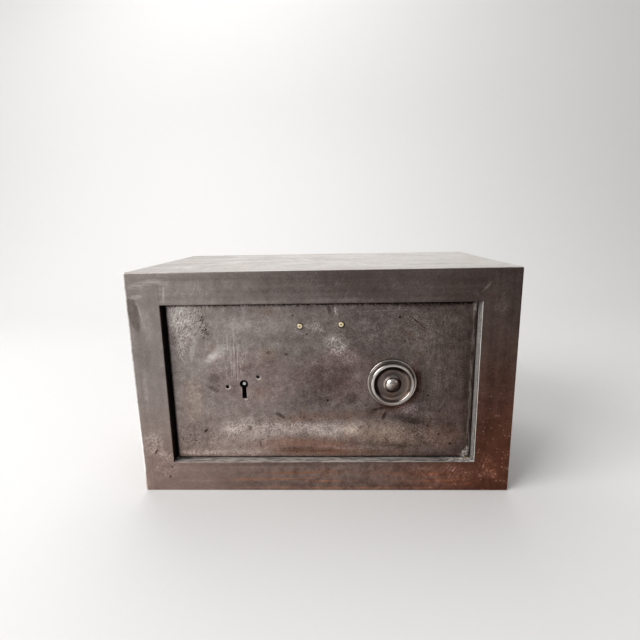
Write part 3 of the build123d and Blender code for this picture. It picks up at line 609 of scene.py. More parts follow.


# Marks on the door, in rows like the frame's
# Bright marks round the holes: painted highlights on the hole edges, and lighter patches round and below the
# keyhole
holeHighlights = [
    ((keyX - 17.4, keyZ - 3.6), (3.3, 3.2), 0, 0.3, "plain", 0.7),
    ((keyX + 16.2, keyZ + 7.2), (3.3, 3.2), 0, 0.3, "plain", 0.7),
    ((keyX + 0.2, keyZ + 0.2), (6.4, 6.2), 0, 0.14, "grain", 0.6),
    ((keyX + 1.5, keyZ - 17.6), (2.8, 1.4), 15, 0.24, "plain", 0.4),
    ((keyX, keyZ - 10), (4.6, 9), 0, 0.1, "plain", 0.6),
]
rivetRings = [
    ((rivetLow.x + 3.2, rivetLow.z + 2.4), (4.4, 4.4), 0, -0.3, "plain", 0.6),
    ((rivetHigh.x - 2.2, rivetHigh.z - 3.2), (4.4, 4.4), 0, -0.34, "plain", 0.6),
]
doorMarks = [
    ((-146, 196), (30, 24), 40, 0.08, "grain"), ((-152, 196), (20, 16), 30, 0.12),
    ((-138, 182), (20, 16), 50, 0.1, "cloud"), ((-150, 168), (7, 20), 0, 0.14, "grain"),
    ((-138, 160), (4, 18), -12, 0.1), ((-128, 166), (5, 14), -8, -0.06),
    ((-118, 151), (11, 6), 38, 0.15, "cloud"), ((-110, 157), (15, 9), 35, 0.13),
    ((-95, 155), (18, 40), 0, 0.05, "cloud"), ((-119, 116), (10, 3.6), -28, -0.14),
    ((-117, 128), (8, 7), 0, -0.12), ((-140, 104), (12, 28), 0, 0.05), ((-90, 124), (80, 22), 0, -0.03),
    ((-57, 156), (3.4, 2.6), 0, -0.14), ((-38, 154), (1.6, 1.6), 0, -0.24),
    ((-60, 186), (60, 14), 0, 0.06, "cloud"), ((-35, 172), (34, 8), -6, -0.05, "cloud"),
    ((-70, 138), (30, 16), 0, -0.05, "cloud"), ((15, 199), (2.6, 8), 10, 0.22, "grain"),
    ((8, 201), (2.4, 7), 10, -0.16), ((-6, 184), (15, 8), -20, 0.14, "grain"),
    ((-20, 190), (8, 4), 20, -0.08, "grain"), ((14, 165), (16, 15), -40, 0.2, "grain"),
    ((26, 152), (17, 11), -40, 0.12, "grain"), ((34, 186), (20, 4), 4, 0.06, "brush"),
    ((4, 128), (34, 18), 10, -0.11, "cloud"), ((-4, 108), (34, 16), 14, -0.12, "cloud"),
    ((30, 104), (12, 9), 0, -0.12, "cloud"), ((-140, 64), (20, 20), 0, -0.05, "grain"),
    ((-84, 77), (44, 10), 5, 0.05, "grain"), ((-96, 73), (26, 10), 20, 0.1, "cloud"),
    ((-60, 68), (60, 12), 3, 0.15, "cloud"), ((-10, 71), (64, 14), 0, 0.1, "grain"),
    ((-40, 62), (110, 18), 0, 0.08), ((10, 40), (160, 10), 0, 0.115), ((40, 64), (60, 18), -4, 0.07),
    # The dark bands at the door's top, on this line and the next, are painted shadow under the top rail
    ((156, 125), (9, 88), 0, -0.08), ((104, 207), (66, 4.5), 0, -0.14),
    ((-4, 206), (60, 3.4), 0, -0.08, "cloud"), ((10, 68), (50, 12), 0, 0.13, "cloud"),
    ((58, 66), (48, 19), -8, 0.16, "cloud"), ((100, 60), (46, 20), -14, 0.1, "grain"),
    ((125, 58), (34, 22), 0, 0.1, "cloud"), ((40, 46), (70, 6), -3, 0.08, "grain"),
    ((-142, 40), (24, 5), 0, 0.12, "grain"), ((-110, 40), (60, 5), 0, 0.14, "grain"),
    ((-100, 46), (64, 14), 0, 0.04), ((104, 44), (52, 12), 0, -0.03), ((92, 92), (16, 8), -8, 0.16, "grain"),
    ((110, 85), (14, 5), -6, 0.12, "cloud"), ((92, 79), (20, 5), -16, -0.16, "cloud"),
    ((52, 90), (12, 5), 0, -0.1, "cloud"), ((66, 84), (2.4, 6.5), -22, -0.26),
    ((60, 92), (9, 2.2), 14, -0.2, "cloud"), ((41, 71), (3.6, 2.6), 30, -0.26),
    ((38, 67), (1.8, 3.6), -10, -0.2), ((69, 56), (0.9, 5), 40, -0.24), ((-47, 85), (7.5, 2.6), -30, -0.24),
    ((-130, 67), (4.2, 1.5), 42, -0.34), ((-81, 70), (2.4, 4.4), -10, -0.22),
    ((-70, 52), (1.4, 6), 0, -0.16), ((-25, 44), (50, 4.6), 0, -0.16, "cloud"),
    ((40, 42), (50, 3.6), 0, -0.1, "cloud"), ((137, 70), (12, 10), 20, -0.07, "cloud"),
    ((148, 48), (14, 12), 0, -0.06, "cloud"), ((104, 116), (14, 30), -4, -0.05),
    ((150, 150), (12, 60), 0, -0.05), ((118, 140), (10, 60), 0, 0.04, "cloud"),
    ((90, 180), (64, 34), 0, 0.07, "grain"),
] + holeHighlights + rivetRings
# The same with a tint in place of the change of tone
doorTints = [
    ((-15, 54), (62, 8), -3, (1.05, 0.92, 0.85), "cloud"), ((-20, 48), (75, 11), -2, (1.06, 0.9, 0.82)),
    ((20, 41), (110, 5), 0, (1.02, 0.84, 0.72), "cloud"), ((-58, 156), (14, 12), 0, (1, 0.99, 0.92)),
    ((-75, 128), (70, 40), 0, (1.06, 0.95, 0.94), "cloud"), ((-142, 105), (16, 34), 0, (1.04, 0.98, 0.92)),
    ((70, 62), (56, 20), -8, (1.05, 0.98, 0.88)), ((92, 91), (18, 9), -8, (1, 0.95, 1.02)),
    ((20, 130), (60, 40), 0, (1.06, 0.92, 0.93), "cloud"),
    ((130, 60), (24, 20), 0, (1.06, 0.91, 0.82), "cloud"),
    ((10, 84), (90, 8), 4, (1.04, 0.9, 0.84), "cloud"),
]
doorStrokes = [
    ((-144, 194), (28, 26), 40, -1, 0.55, 2.6, 0.9, 0.15),
    ((-142, 192), (28, 26), 40, -1.1, 0.55, 3.2, 0.8, -0.22),
    ((-124, 184), (8, 18), 10, -0.85, 0.85, 3.4, 0.9, -0.42),
    ((-152, 166), (8, 22), 0, -1.3, 0.65, 3.4, 0.8, -0.22),
    ((-93, 150), (16, 36), 0, 1.5708, 0.8, 26, 1, 0.13),
    ((-95, 152), (18, 38), 0, 1.5708, 0.9, 22, 1, -0.12), ((6, 176), (40, 28), -30, 0.5, 0.7, 9, 0.5, 0.14),
    ((22, 160), (34, 26), -30, -0.9, 0.7, 5, 0.5, 0.14),
    ((-20, 120), (60, 30), 20, -0.6, 0.7, 14, 0.4, 0.08),
    ((-60, 70), (90, 18), 3, -0.5, 0.8, 3.4, 0.8, 0.07),
    ((-60, 66), (100, 22), 3, -0.9, 0.8, 2.6, 0.7, -0.18),
    ((60, 62), (90, 24), -4, -0.5, 0.8, 3, 0.6, -0.16), ((-142, 62), (22, 26), 0, 0.7, 0.9, 3.4, 0.8, -0.16),
    ((120, 130), (44, 90), 0, 1.52, 0.8, 16, 0.8, 0.03),
    ((120, 130), (44, 90), 0, 1.56, 1.2, 18, 0.8, -0.04),
    ((100, 186), (17, 0.8), -42, 0.73, 40, 400, 1, -0.26),
]
# Long single scratches as thin ellipses: place, half sizes, angle, change of tone
doorScratches = [
    ((100, 187), (15.5, 0.55), -41, -0.3), ((126, 162), (17, 0.4), -44, -0.1),
    ((-6, 181), (17, 0.5), -16, 0.1), ((14, 170), (16, 0.55), -38, 0.11), ((27, 155), (14, 0.5), -52, 0.08),
    ((36, 130), (22, 0.4), -62, 0.1), ((-22, 184), (9, 0.5), 18, 0.14), ((14, 203), (0.6, 6), 4, 0.26),
    ((2, 140), (26, 0.4), -28, 0.1), ((-45, 118), (20, 0.4), 12, 0.08), ((118, 181), (3, 0.5), 80, 0.1),
    ((81, 194), (0.5, 3.4), 8, -0.24), ((132, 185), (8, 0.4), 35, 0.08), ((-140, 172), (9, 0.5), -50, -0.2),
    ((-150, 150), (8, 0.5), -62, 0.14), ((-30, 96), (24, 0.4), 8, 0.08), ((70, 47), (16, 0.4), 2, 0.1),
    ((-72, 40), (0.4, 4), 0, 0.14), ((-76, 40), (0.4, 4), 0, -0.14), ((-80, 41), (0.4, 4), 0, 0.14),
    ((60, 200), (34, 0.5), 1, 0.1),
]
# Single pits: place and radius
doorPits = [
    (113, 72, 0.9), (125, 62, 0.8), (138, 51, 1.1), (81, 193, 0.9), (112.5, 107, 0.9), (87, 167.5, 0.8),
    (-148, 62, 0.8), (-142, 55, 0.9), (-98, 62, 0.7), (-89, 72, 0.6), (-61, 60, 0.7), (5, 102, 0.9),
    (-93, 47, 0.6), (126, 88, 0.6), (-30, 196, 0.7), (-16, 176, 0.8), (46, 96, 0.7), (30, 165, 0.6),
]
# The door is painted lighter on the left and darker on the right, as light falling off across it
doorSteel = {
    "lightAcross": [
        (0, 0.59), (0.1, 0.59), (0.28, 0.56), (0.42, 0.5), (0.52, 0.46), (0.66, 0.39), (0.8, 0.33),
        (1, 0.28),
    ],
    "grain": (1, 1, 0.05), "cloud": 0.1, "mottle": 0.16, "streak": 0.06, "fine": 0.1, "grit": 0.19,
    "gritNoise": (0.66, 4, 0.72, 0.4), "scratches": 0.18, "pits": 0.35, "rust": 0.3, "warmth": 0.9,
    "rough": (0.33, 0.5), "bump": 0.4,
}
doorWear = {
    "wideNoise": (0.07, 6, 0.68, 0.8), "strokeSeed": 7, "scratchInner": 0.4,
    "pits": {"across": 1.6, "up": 1.4, "inner": 0.4, "tone": -0.35, "height": -1.2},
    "pinholes": {"density": 0.36, "size": (0.4, 0.6, 0.06, 0.24), "rise": (70, 140, 1, 0.4), "tone": -0.2},
    "ring": {"radius": (26, 35, 1, 0), "slant": (0.15, -0.65, 0, 1), "tone": -0.24}, "borderShadow": -0.4,
    "wearAndHighlight": 0.2, "rustSeed": 40, "crumbs": (0.47, 0.55, 0, 1.2),
    "corners": [((159, 203), (3.4, 8), 0, 0.5), ((156, 42), (4.6, 11), -35, 0.4)], "rubbedCoat": 0.35,
    "coat": (0.5, 0.46, 0.43, 1),
}


# Distance from the knob's middle, and 1 towards its upper left, -1 towards its lower right
def knobPolar(x, z):
    radius, dx, dz = distance(x, z, (knobX, knobZ))
    across = times(most(radius, 0.5), math.sqrt(2))
    return radius, calc("DIVIDE", minus(dz, dx), across)


# Painted shadow: a dark ragged band where the door meets the recess at its top, bottom and left; and scuffed
# lines on its round right edge, partly painted highlight
borderLook = {
    "raggedNoise": (0.45, 5, 0.7), "topReach": (0.34, 0.66, 1, 5), "top": (0.35, 1, 1, 0),
    "lowReach": (0.3, 0.7, 0.8, 2.6), "low": (0.3, 1, 1, 0), "left": (0.4, 2.2, 0.8, 0),
    "streakNoise": ((1, 1, 12), 0.75, 5, 0.68), "streaks": (0.42, 0.62), "roundEdge": (-6, -3),
}


def doorBorder(vector, x, z):
    look = borderLook
    ragged = noise(vector, *look["raggedNoise"])
    fromTop = calc("DIVIDE", minus(doorHigh.z, z), spread(ragged, *look["topReach"]))
    fromLow = calc("DIVIDE", minus(z, doorLow.z), spread(ragged, *look["lowReach"]))
    left = spread(minus(x, doorLow.x), *look["left"])
    # Painted shadow: dark bands along the door's top, bottom and left edges
    dark = most(spread(fromTop, *look["top"]), spread(fromLow, *look["low"]), left)
    streaks = stretched(vector, *look["streakNoise"])
    edge = spread(minus(x, doorHigh.x), *look["roundEdge"])
    return dark, times(spread(streaks, *look["streaks"]), edge)


def doorMaterial(settings, wear):
    material, shader = newMaterial("door_steel_worn")
    vector, x, y, z = coordinates(shader)
    plane = (x, z)
    tone, height, grit, mottle = steelLayers(vector, x, settings)
    face = spread(minus(y, doorMm), *faceDepth)
    wide = noise(vector, *wear["wideNoise"])
    textures = markTextures(vector, grit, wide, face)
    tone = addMarks(plane, tone, doorMarks, textures)
    tone = addStrokes(vector, plane, tone, doorStrokes, wear["strokeSeed"], face)
    for scratch in doorScratches:
        tone = changed(tone, *maskOf(plane, textures, *scratch, "plain", wear["scratchInner"]))
    look = wear["pits"]
    for pitX, pitZ, radius in doorPits:
        size = (radius * look["across"], radius * look["up"])
        pit = times(patch(plane, (pitX, pitZ), size, 0, look["inner"]), face)
        tone = changed(tone, pit, look["tone"])
        height = changed(height, pit, look["height"])
    look = wear["pinholes"]
    pinholes = dots(vector, look["density"], spread(wide, *look["size"]))
    pinholes = times(pinholes, spread(z, *look["rise"]), face)
    tone = changed(tone, pinholes, look["tone"])
    # Painted shadow of the knob on the door, a reddish dark crescent to its lower right
    look = wear["ring"]
    radius, slant = knobPolar(x, z)
    ring = times(spread(radius, *look["radius"], smooth=True), spread(slant, *look["slant"], smooth=True))
    tone = changed(tone, times(ring, face), look["tone"])
    dark, wearAndHighlight = doorBorder(vector, x, z)
    tone = changed(tone, times(dark, face), wear["borderShadow"])
    tone = changed(tone, wearAndHighlight, wear["wearAndHighlight"])
    tints = [
        (warmReflectionMask(x, z, settings["warmth"]), warmTint),
        (rustMask(vector, settings["rust"], wear["rustSeed"]), rustTint),
        (ring, knobShadowTint),
    ]
    tints += [maskOf(plane, textures, *mark) for mark in doorTints]
    crumbs = spread(grit, *wear["crumbs"])
    corners = addUp(*[patch(plane, *corner) for corner in wear["corners"]])
    coat = most(times(wearAndHighlight, wear["rubbedCoat"]), times(corners, crumbs))
    finishSteel(shader, tone, height, settings, tints, coat, wear["coat"])
    return material


# Plainer metals of the mechanism: weights of the grain's lines, the clouds and the specks
metalLook = {
    "lines": (4, 0.6), "clouds": (4, 0.6, 0.5), "specks": (2.2, 2, 0.7), "weights": (0.9, 1.3, 0.4),
    "shades": (0.1, 0.9),
}


def metalMaterial(name, dark, light, rough, grain=(1, 1, 1), grainSize=1.1, blotch=0.05, relief=0.2):
    material, shader = newMaterial(name)
    vector = coordinates(shader)[0]
    lines = noise(moved(vector, size=grain, kind="POINT"), grainSize, *metalLook["lines"])
    clouds = noise(vector, blotch, *metalLook["clouds"])
    specks = noise(vector, *metalLook["specks"])
    layers = zip((lines, clouds, specks), metalLook["weights"])
    value = addUp(*[weigh(layer, weight) for layer, weight in layers])
    value = addUp(value, 0.5)
    first, last = metalLook["shades"]
    color = ramp(value, [(first, dark), (last, light)])
    setShader(shader, color, spread(value, *smoothTones, rough[1], rough[0]), 1)
    bump(shader, addUp(lines, specks), relief)
    return material


# The knob: tone against radius in millimetres, bright on its rim and dark in its dish
knobRings = [
    (0, 0.46), (1, 0.52), (5, 0.56), (7.4, 0.48), (8, 0.22), (8.5, 0.42), (8.9, 0.22), (10, 0.37),
    (15, 0.39), (17, 0.32), (18.4, 0.1), (19.1, 0.34), (19.6, 0.66), (20.6, 0.74), (21.8, 0.74),
    (22.7, 0.5), (23.1, 0.14), (24, 0.4), (24.6, 0.52), (25.3, 0.66), (25.8, 0.6), (26, 0.3),
]
knobWear = {
    "turningNoise": (2.2, 3, 0.6), "mottleNoise": (0.22, 5, 0.65, 0.4), "fineNoise": (1.3, 3, 0.6),
    "weights": (0.14, 0.26, 0.14), "heights": (1, 0.8, 0.5), "rim": (19, 19.6),
    "glowHigh": (-0.1, 0.5, -0.5, 1), "glowLow": (-0.4, -0.9, -0.5, 1), "cornerInside": (14.8, 16.4),
    "cornerOutside": (19.2, 19.7, 1, 0), "dishShadow": (-0.35, 0.45, -0.4, 1), "grooveAt": (20.1, 0.6),
    "grooved": (0.2, -0.3, 0, 1), "boss": (9, 9.8, 1, 0), "shaded": (-3.4, 4.4, -0.9, 1), "glow": 0.14,
    "shade": 0.46, "dishShadowTone": -0.42, "groove": -0.3, "brown": (0.4, 0.6), "brownAcross": (18.5, 19.5, 1, 0.3),
    "brownSlant": (0.6, -0.6, 0.35, 1), "brownTint": (1.08, 0.9, 0.74), "rough": (0.15, 0.7, 0.4, 0.2),
    "bump": 0.25,
}


def knobMaterial(rings, wear):
    material, shader = newMaterial("knob_steel_turned")
    vector, x, y, z = coordinates(shader)
    radius, slant = knobPolar(x, z)
    turned = addNode("ShaderNodeCombineXYZ", {0: radius}).outputs[0]
    layers = [
        noise(turned, *wear["turningNoise"]),
        noise(vector, *wear["mottleNoise"]),
        noise(vector, *wear["fineNoise"]),
    ]
    # Painted highlight: the rim is lighter towards its upper left and lower right
    rimHighlight = most(spread(slant, *wear["glowHigh"]), spread(slant, *wear["glowLow"]))
    rimHighlight = times(rimHighlight, spread(radius, *wear["rim"]))
    # Painted shadow: a dark crescent in the dish's corner towards the upper left, under the rim
    corner = times(spread(radius, *wear["cornerInside"]), spread(radius, *wear["cornerOutside"]))
    dishShadow = times(spread(slant, *wear["dishShadow"], smooth=True), corner)
    groove = times(nearLine(radius, *wear["grooveAt"]), spread(slant, *wear["grooved"]))
    boss = spread(radius, *wear["boss"])
    shaded = times(spread(times(slant, radius), *wear["shaded"]), boss)
    tone = addUp(
        levels(radius, rings),
        *[weigh(layer, weight) for layer, weight in zip(layers, wear["weights"])],
        times(rimHighlight, wear["glow"]), times(shaded, wear["shade"]),
        times(dishShadow, wear["dishShadowTone"]), times(groove, wear["groove"]),
    )
    brown = times(
        spread(layers[1], *wear["brown"]), spread(radius, *wear["brownAcross"]),
        spread(slant, *wear["brownSlant"]),
    )
    color = tinted(ramp(tone, steelTones), brown, wear["brownTint"])
    setShader(shader, color, spread(tone, *wear["rough"]), 1)
    height = addUp(*[weigh(layer, weight) for layer, weight in zip(layers, wear["heights"])])
    bump(shader, height, wear["bump"])
    return material


# Rivets: pale brass with a dark dimple and a grimy edge round each centre
rivetLook = {
    "radius": 2.8, "raggedNoise": (0.9, 3, 0.6), "ragged": 0.8, "reach": 3.2,
    "colors": [
        (0, (0.16, 0.1, 0.05)), (0.22, (0.3, 0.22, 0.12)), (0.34, (0.8, 0.68, 0.44)),
        (0.66, (0.86, 0.74, 0.5)), (0.8, (0.52, 0.4, 0.22)), (0.9, (0.08, 0.05, 0.03)),
    ],
    "metallic": 0.75, "rough": 0.38,
}


def rivetMaterial(look):
    material, shader = newMaterial("rivet_brass_pale")
    vector, x, y, z = coordinates(shader)
    inset = look["radius"]
    middles = [(rivetLow.x + inset, rivetLow.z + inset), (rivetHigh.x - inset, rivetHigh.z - inset)]
    away = calc("MINIMUM", *[distance(x, z, middle)[0] for middle in middles])
    away = addUp(away, weigh(noise(vector, *look["raggedNoise"]), look["ragged"]))
    color = ramp(calc("DIVIDE", away, look["reach"]), look["colors"])
    setShader(shader, color, look["rough"], look["metallic"])
    return material


# Dried filler between the door's round edge and the right wall of the recess
fillerLook = {
    "streakNoise": ((1, 1, 9), 0.7, 5, 0.68), "crumbNoise": (0.6, 4, 0.7), "share": 0.5,
    "colors": [
        (0.36, (0.05, 0.044, 0.04)), (0.47, (0.13, 0.117, 0.107)), (0.58, (0.33, 0.303, 0.283)),
    ],
    "rough": 0.7, "bump": (0.5, 0.0005),
}


def fillerMaterial(look):
    material, shader = newMaterial("old_filler")
    vector = coordinates(shader)[0]
    streaks = stretched(vector, *look["streakNoise"])
    crumbs = noise(vector, *look["crumbNoise"])
    value = changed(times(streaks, look["share"]), crumbs, look["share"])
    setShader(shader, ramp(value, look["colors"]), look["rough"])
    bump(shader, value, *look["bump"])
    return material


paintLook = {
    "cloudNoise": (0.03, 4, 0.6, 0.4), "peelNoise": (0.9, 3, 0.5), "chipNoise": (0.16, 6, 0.72),
    "chips": (0.66, 0.69), "colors": [(0.25, (0.25, 0.258, 0.25)), (0.75, (0.345, 0.352, 0.338))],
    "chipColor": (0.12, 0.1, 0.09, 1), "rough": (0.3, 0.7, 0.48, 0.6), "chipDepth": -0.8, "bump": 0.25,
}


def paintMaterial(look):
    material, shader = newMaterial("liner_paint_grey")
    vector = coordinates(shader)[0]
    clouds = noise(vector, *look["cloudNoise"])
    peel = noise(vector, *look["peelNoise"])
    chips = spread(noise(vector, *look["chipNoise"]), *look["chips"])
    color = mixColor(chips, ramp(clouds, look["colors"]), look["chipColor"])
    setShader(shader, color, spread(clouds, *look["rough"]))
    bump(shader, changed(peel, chips, look["chipDepth"]), look["bump"])
    return material


fillLook = {
    "noise": (0.3, 6, 0.7), "colors": [(0.3, (0.42, 0.4, 0.36)), (0.7, (0.66, 0.64, 0.59))], "rough": 0.92,
    "bump": (0.7, 0.001),
}


def fillMaterial(look):
    material, shader = newMaterial("cast_fill")
    coarse = noise(coordinates(shader)[0], *look["noise"])
    setShader(shader, ramp(coarse, look["colors"]), look["rough"])
    bump(shader, coarse, *look["bump"])
    return material


# Painted sheen: the top plate is painted much lighter than the front, and lighter still to the right; its
# narrow sides are darkened back
topSteel = {
    "lightAcross": [(0, 0.77), (0.5, 0.87), (1, 1.02)], "cloud": 0.16, "mottle": 0.2, "streak": 0.34, "rust": 0.42,
    "warmth": 0, "rough": (0.34, 0.48), "edges": [("x", -200, 0.1, 1.6), ("x", 200, 0.1, 1.6)],
    "sides": -0.42,
}
sideSteel = {
    "grain": (1, 0.02, 1), "cloud": 0.16, "mottle": 0.12, "scratches": 0.2, "warmth": 0.6,
}
backSteel = {
    "lightAcross": [(0, 0.46), (1, 0.44)], "cloud": 0.18, "mottle": 0.14, "scratches": 0.2, "rust": 0.5,
    "warmth": 0.3,
}
finishes = {
    "rail": caseMaterial("rail_steel", {}, front=True),
    "stile": caseMaterial("stile_steel", {"grain": (1, 1, 0.02)}, front=True),
    "top": caseMaterial("top_steel", topSteel),
    "case_steel": caseMaterial("side_steel", sideSteel),
    "back": caseMaterial("back_steel", backSteel),
    "door_steel": doorMaterial(doorSteel, doorWear),
    "knob_steel": knobMaterial(knobRings, knobWear),
    "rivets": rivetMaterial(rivetLook),
    "filler": fillerMaterial(fillerLook),
    "bright_steel": metalMaterial(
        "bright_steel_drawn", (0.36, 0.35, 0.34), (0.62, 0.61, 0.6), (0.24, 0.38), (0.05, 1, 1)
    ),
    "dark_steel": metalMaterial(
        "dark_mill_scale", (0.055, 0.055, 0.058), (0.2, 0.195, 0.19), (0.42, 0.62), blotch=0.04
    ),
    "spring_steel": metalMaterial("blued_spring", (0.1, 0.12, 0.18), (0.3, 0.31, 0.36), (0.28, 0.42)),
    "brass": metalMaterial("aged_brass", (0.34, 0.23, 0.09), (0.72, 0.56, 0.28), (0.3, 0.46), blotch=0.2),
    "liner_paint": paintMaterial(paintLook),
    "fill": fillMaterial(fillLook),
}
# Nodes with a finish of their own; the others take their slot's
nodeFinish = {
    "frame_top_bar": "rail", "frame_bottom_bar": "rail", "frame_left_bar": "stile",
    "frame_right_bar": "stile", "top_plate": "top", "bottom_plate": "back",
    "back_plate": "back", "nameplate_rivets": "rivets",
}


def dress(piece, finish):
    piece.data.materials.clear()
    piece.data.materials.append(finishes[finish])


for entry in frame["record"]["subparts"]:
    node = entry["node"]
    dress(nodes[node], nodeFinish.get(node, entry["material_slot"]))
print("finishes made:", len(finishes))


# New pieces start from a bmesh and become an object on a body, smooth but for its sharp edges
meshLook = {"merge": 1e-6, "sharp": math.radians(38)}


def pieceFrom(bm, name, body, slotName, replaced=(), finish=None):
    bmesh.ops.remove_doubles(bm, verts=bm.verts, dist=meshLook["merge"])
    bmesh.ops.recalc_face_normals(bm, faces=bm.faces)
    mesh = bpy.data.meshes.new(name)
    bm.to_mesh(mesh)
    bm.free()
    mesh.shade_smooth()
    mesh.set_sharp_from_angle(angle=meshLook["sharp"])
    piece = bpy.data.objects.new(name, mesh)
    bpy.context.scene.collection.objects.link(piece)
    dress(piece, finish or slotName)
    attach(piece, body)
    if replaced:
        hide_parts(*replaced)
    return piece


# A profile of radius and height, spun about an axis that points out of the door
def turnedPiece(profile, centre, baseY, steps):
    bm = bmesh.new()
    points = [
        bm.verts.new((centre.x + radius * mm, baseY - height * mm, centre.z))
        for radius, height in profile
    ]
    edges = [bm.edges.new(pair) for pair in zip(points, points[1:])]
    bmesh.ops.spin(
        bm, geom=points + edges, cent=(centre.x, baseY, centre.z), axis=(0, 1, 0),
        angle=math.tau, steps=steps, use_merge=True, use_duplicate=False,
    )
    return bm


# Points of an arc between two angles, as radius and height
def arc(centre, radius, start, end, steps):
    points = []
    for i in range(steps + 1):
        angle = math.radians(start + (end - start) * i / steps)
        points.append((centre[0] + radius * math.cos(angle), centre[1] + radius * math.sin(angle)))
    return points


# Knob, boss and rose: radius and height above the door's face, in millimetres
knobShape = {
    "bore": 3,
    "under": [(18, 3.6), (18, 4), (18.6, 4.05), (19.6, 4.3), (21, 4.8), (22.3, 5.4)],
    "bead": {"centre": (21, 6), "radius": 2, "start": -8, "end": 184, "steps": 20},
    "dish": [(18.9, 5.85), (18.6, 5.5), (18.1, 5.28), (17.2, 5.2), (13.2, 5.2), (13, 5.05), (12.8, 5.2)],
    "floor": 5.2,
}
bossShape = [
    (0, 9), (3, 9), (3, 5.2), (8.8, 5.2), (8.8, 5.95), (8.7, 6.2), (8.4, 6.35), (8, 6.4), (7.95, 6.55),
    (7.9, 7), (7.65, 7.9), (7.2, 8.75), (6.5, 9.6), (5.6, 10.3), (4.5, 10.85), (3.3, 11.2), (2, 11.42),
    (1.1, 11.5), (0.8, 11.35), (0.5, 10.85), (0, 10.75),
]
roseShape = [
    (5.2, 0), (26, 0), (26, 1.3), (25.85, 1.7), (25.5, 1.95), (25.1, 2), (24.6, 1.95), (24.25, 1.85),
    (24, 2), (24, 2.5), (23.85, 2.85), (23.5, 3), (5.2, 3), (5.2, 0),
]


knobSteps = {"broad": 128, "boss": 96}


def makeKnob(shape, steps):
    profile = [(shape["bore"], shape["under"][0][1])] + shape["under"]
    profile += arc(**shape["bead"])
    profile += shape["dish"] + [(shape["bore"], shape["floor"])]
    profile.append(profile[0])
    disc = turnedPiece(profile, knobCentre, doorY, steps["broad"])
    pieceFrom(disc, "knobDisc", "knob", "knob_steel", ["knob"])
    boss = turnedPiece(bossShape, knobCentre, doorY, steps["boss"])
    pieceFrom(boss, "knobBoss", "knob", "knob_steel", ["knob_boss"])
    rose = turnedPiece(roseShape, knobCentre, doorY, steps["broad"])
    pieceFrom(rose, "knobRose", "door", "knob_steel", ["knob_rose"])


makeKnob(knobShape, knobSteps)
print("knob turned")


def makeSprings():
    bm = bmesh.new()
    bm.from_mesh(nodes["lever_springs"].data)
    piece = pieceFrom(bm, "leverSprings", "levers", "spring_steel", ["lever_springs"])
    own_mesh(piece)


makeSprings()
print("springs set")


# Filler strip: a thin uneven wedge on the right wall, thicker towards the door, in millimetres;
# each wave is its size, its changes inward and upward, and where the noise is read
fillerStrip = {
    "depths": [5, 5.6, 6.4, 7.6, 8.8, 10.2, 12, 14, 16, 18],
    "reaches": [0.03, 0.34, 0.52, 0.7, 0.86, 0.98, 1.1, 1.16, 1.16, 0.6],
    "wave": 0.28,
    "waves": [(1, 0.35, 0.31, 4), (0.5, 0.9, 0.9, 9)],
    "thinnest": 0.02,
    "pitch": 1.2,
}


def makeFiller(settings):
    bm = bmesh.new()
    count = int((openTop - openBottom) / mm / settings["pitch"])
    rows = []
    for i in range(count + 1):
        height = openBottom + (openTop - openBottom) * i / count
        row = []
        for depth, reach in zip(settings["depths"], settings["reaches"]):
            wave = sum(
                size * mathNoise.noise((depth * inward, i * upward, layer))
                for size, inward, upward, layer in settings["waves"]
            )
            thick = max(settings["thinnest"], reach * (1 - settings["wave"] + settings["wave"] * wave))
            row.append(bm.verts.new((openRight - thick * mm, frontY + depth * mm, height)))
        rows.append(row)
    for low, high in zip(rows, rows[1:]):
        for i in range(len(low) - 1):
            bm.faces.new((low[i], low[i + 1], high[i + 1], high[i]))
    pieceFrom(bm, "hingeSideFiller", "case", "case_steel", finish="filler")


makeFiller(fillerStrip)
print("filler laid")


# Stage: pale floor that curves up into a backdrop
stageShape = {
    "halfWidth": 6,
    "front": -4,
    "back": 1.6,
    "bend": 0.8,
    "height": 5,
    "bendSteps": 12,
    "sink": 0.0002,
    "color": (0.8, 0.79, 0.78),
    "rough": 0.75,
}


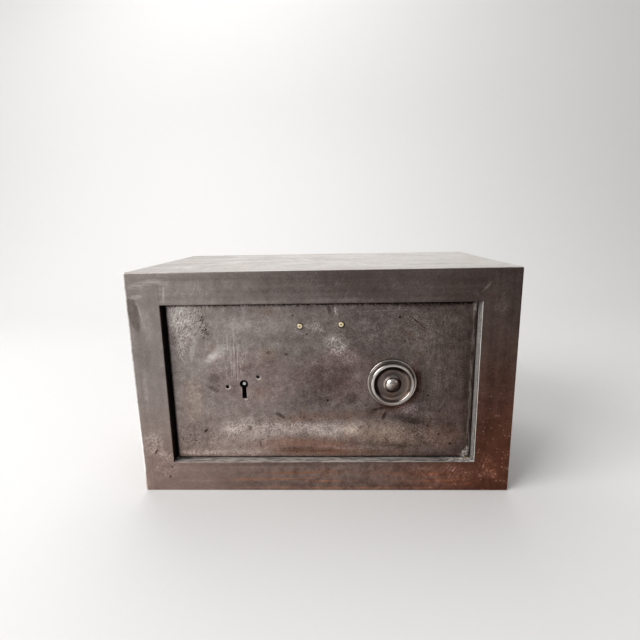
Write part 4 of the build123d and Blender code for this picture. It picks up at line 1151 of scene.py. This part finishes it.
def makeStage(shape):
    bm = bmesh.new()
    bend, steps = shape["bend"], shape["bendSteps"]
    line = [(shape["front"], 0), (shape["back"] - bend, 0)]
    for i in range(1, steps + 1):
        angle = math.pi / 2 * i / steps
        line.append((shape["back"] - bend + bend * math.sin(angle), bend - bend * math.cos(angle)))
    line.append((shape["back"], shape["height"]))
    points = [bm.verts.new((-shape["halfWidth"], y, z - shape["sink"])) for y, z in line]
    edges = [bm.edges.new(pair) for pair in zip(points, points[1:])]
    made = bmesh.ops.extrude_edge_only(bm, edges=edges)["geom"]
    side = [item for item in made if isinstance(item, bmesh.types.BMVert)]
    bmesh.ops.translate(bm, verts=side, vec=(shape["halfWidth"] * 2, 0, 0))
    bmesh.ops.recalc_face_normals(bm, faces=bm.faces)
    mesh = bpy.data.meshes.new("stageFloor")
    bm.to_mesh(mesh)
    bm.free()
    mesh.shade_smooth()
    material, shader = newMaterial("pale_floor")
    setShader(shader, (*shape["color"], 1), shape["rough"])
    mesh.materials.append(material)
    floor = bpy.data.objects.new("stageFloor", mesh)
    bpy.context.scene.collection.objects.link(floor)


makeStage(stageShape)

# Area lights: the large one stands on the left, where the photograph's light comes from
lights = [
    {"name": "windowLight", "place": (-1.7, -1.2, 1.35), "aim": (-0.05, 0, 0.15), "size": 1.7, "power": 58},
    {"name": "rightFill", "place": (1.8, -1.4, 1), "aim": (0, 0, 0.12), "size": 1.4, "power": 5},
    {"name": "topLight", "place": (-0.3, 0.9, 1.9), "aim": (0, 0.1, 0.2), "size": 1.6, "power": 16},
]
worldGrey = 0.3


def addLights():
    for light in lights:
        data = bpy.data.lights.new(light["name"], "AREA")
        data.size = light["size"]
        data.energy = light["power"]
        lamp = bpy.data.objects.new(light["name"], data)
        lamp.location = light["place"]
        aim = Vector(light["aim"]) - Vector(light["place"])
        lamp.rotation_euler = aim.to_track_quat("-Z", "Y").to_euler()
        bpy.context.scene.collection.objects.link(lamp)
    world = bpy.data.worlds.new("paleRoom")
    world.use_nodes = True
    world.node_tree.nodes["Background"].inputs[0].default_value = (worldGrey, worldGrey, worldGrey, 1)
    bpy.context.scene.world = world


addLights()
print("stage and lights set")
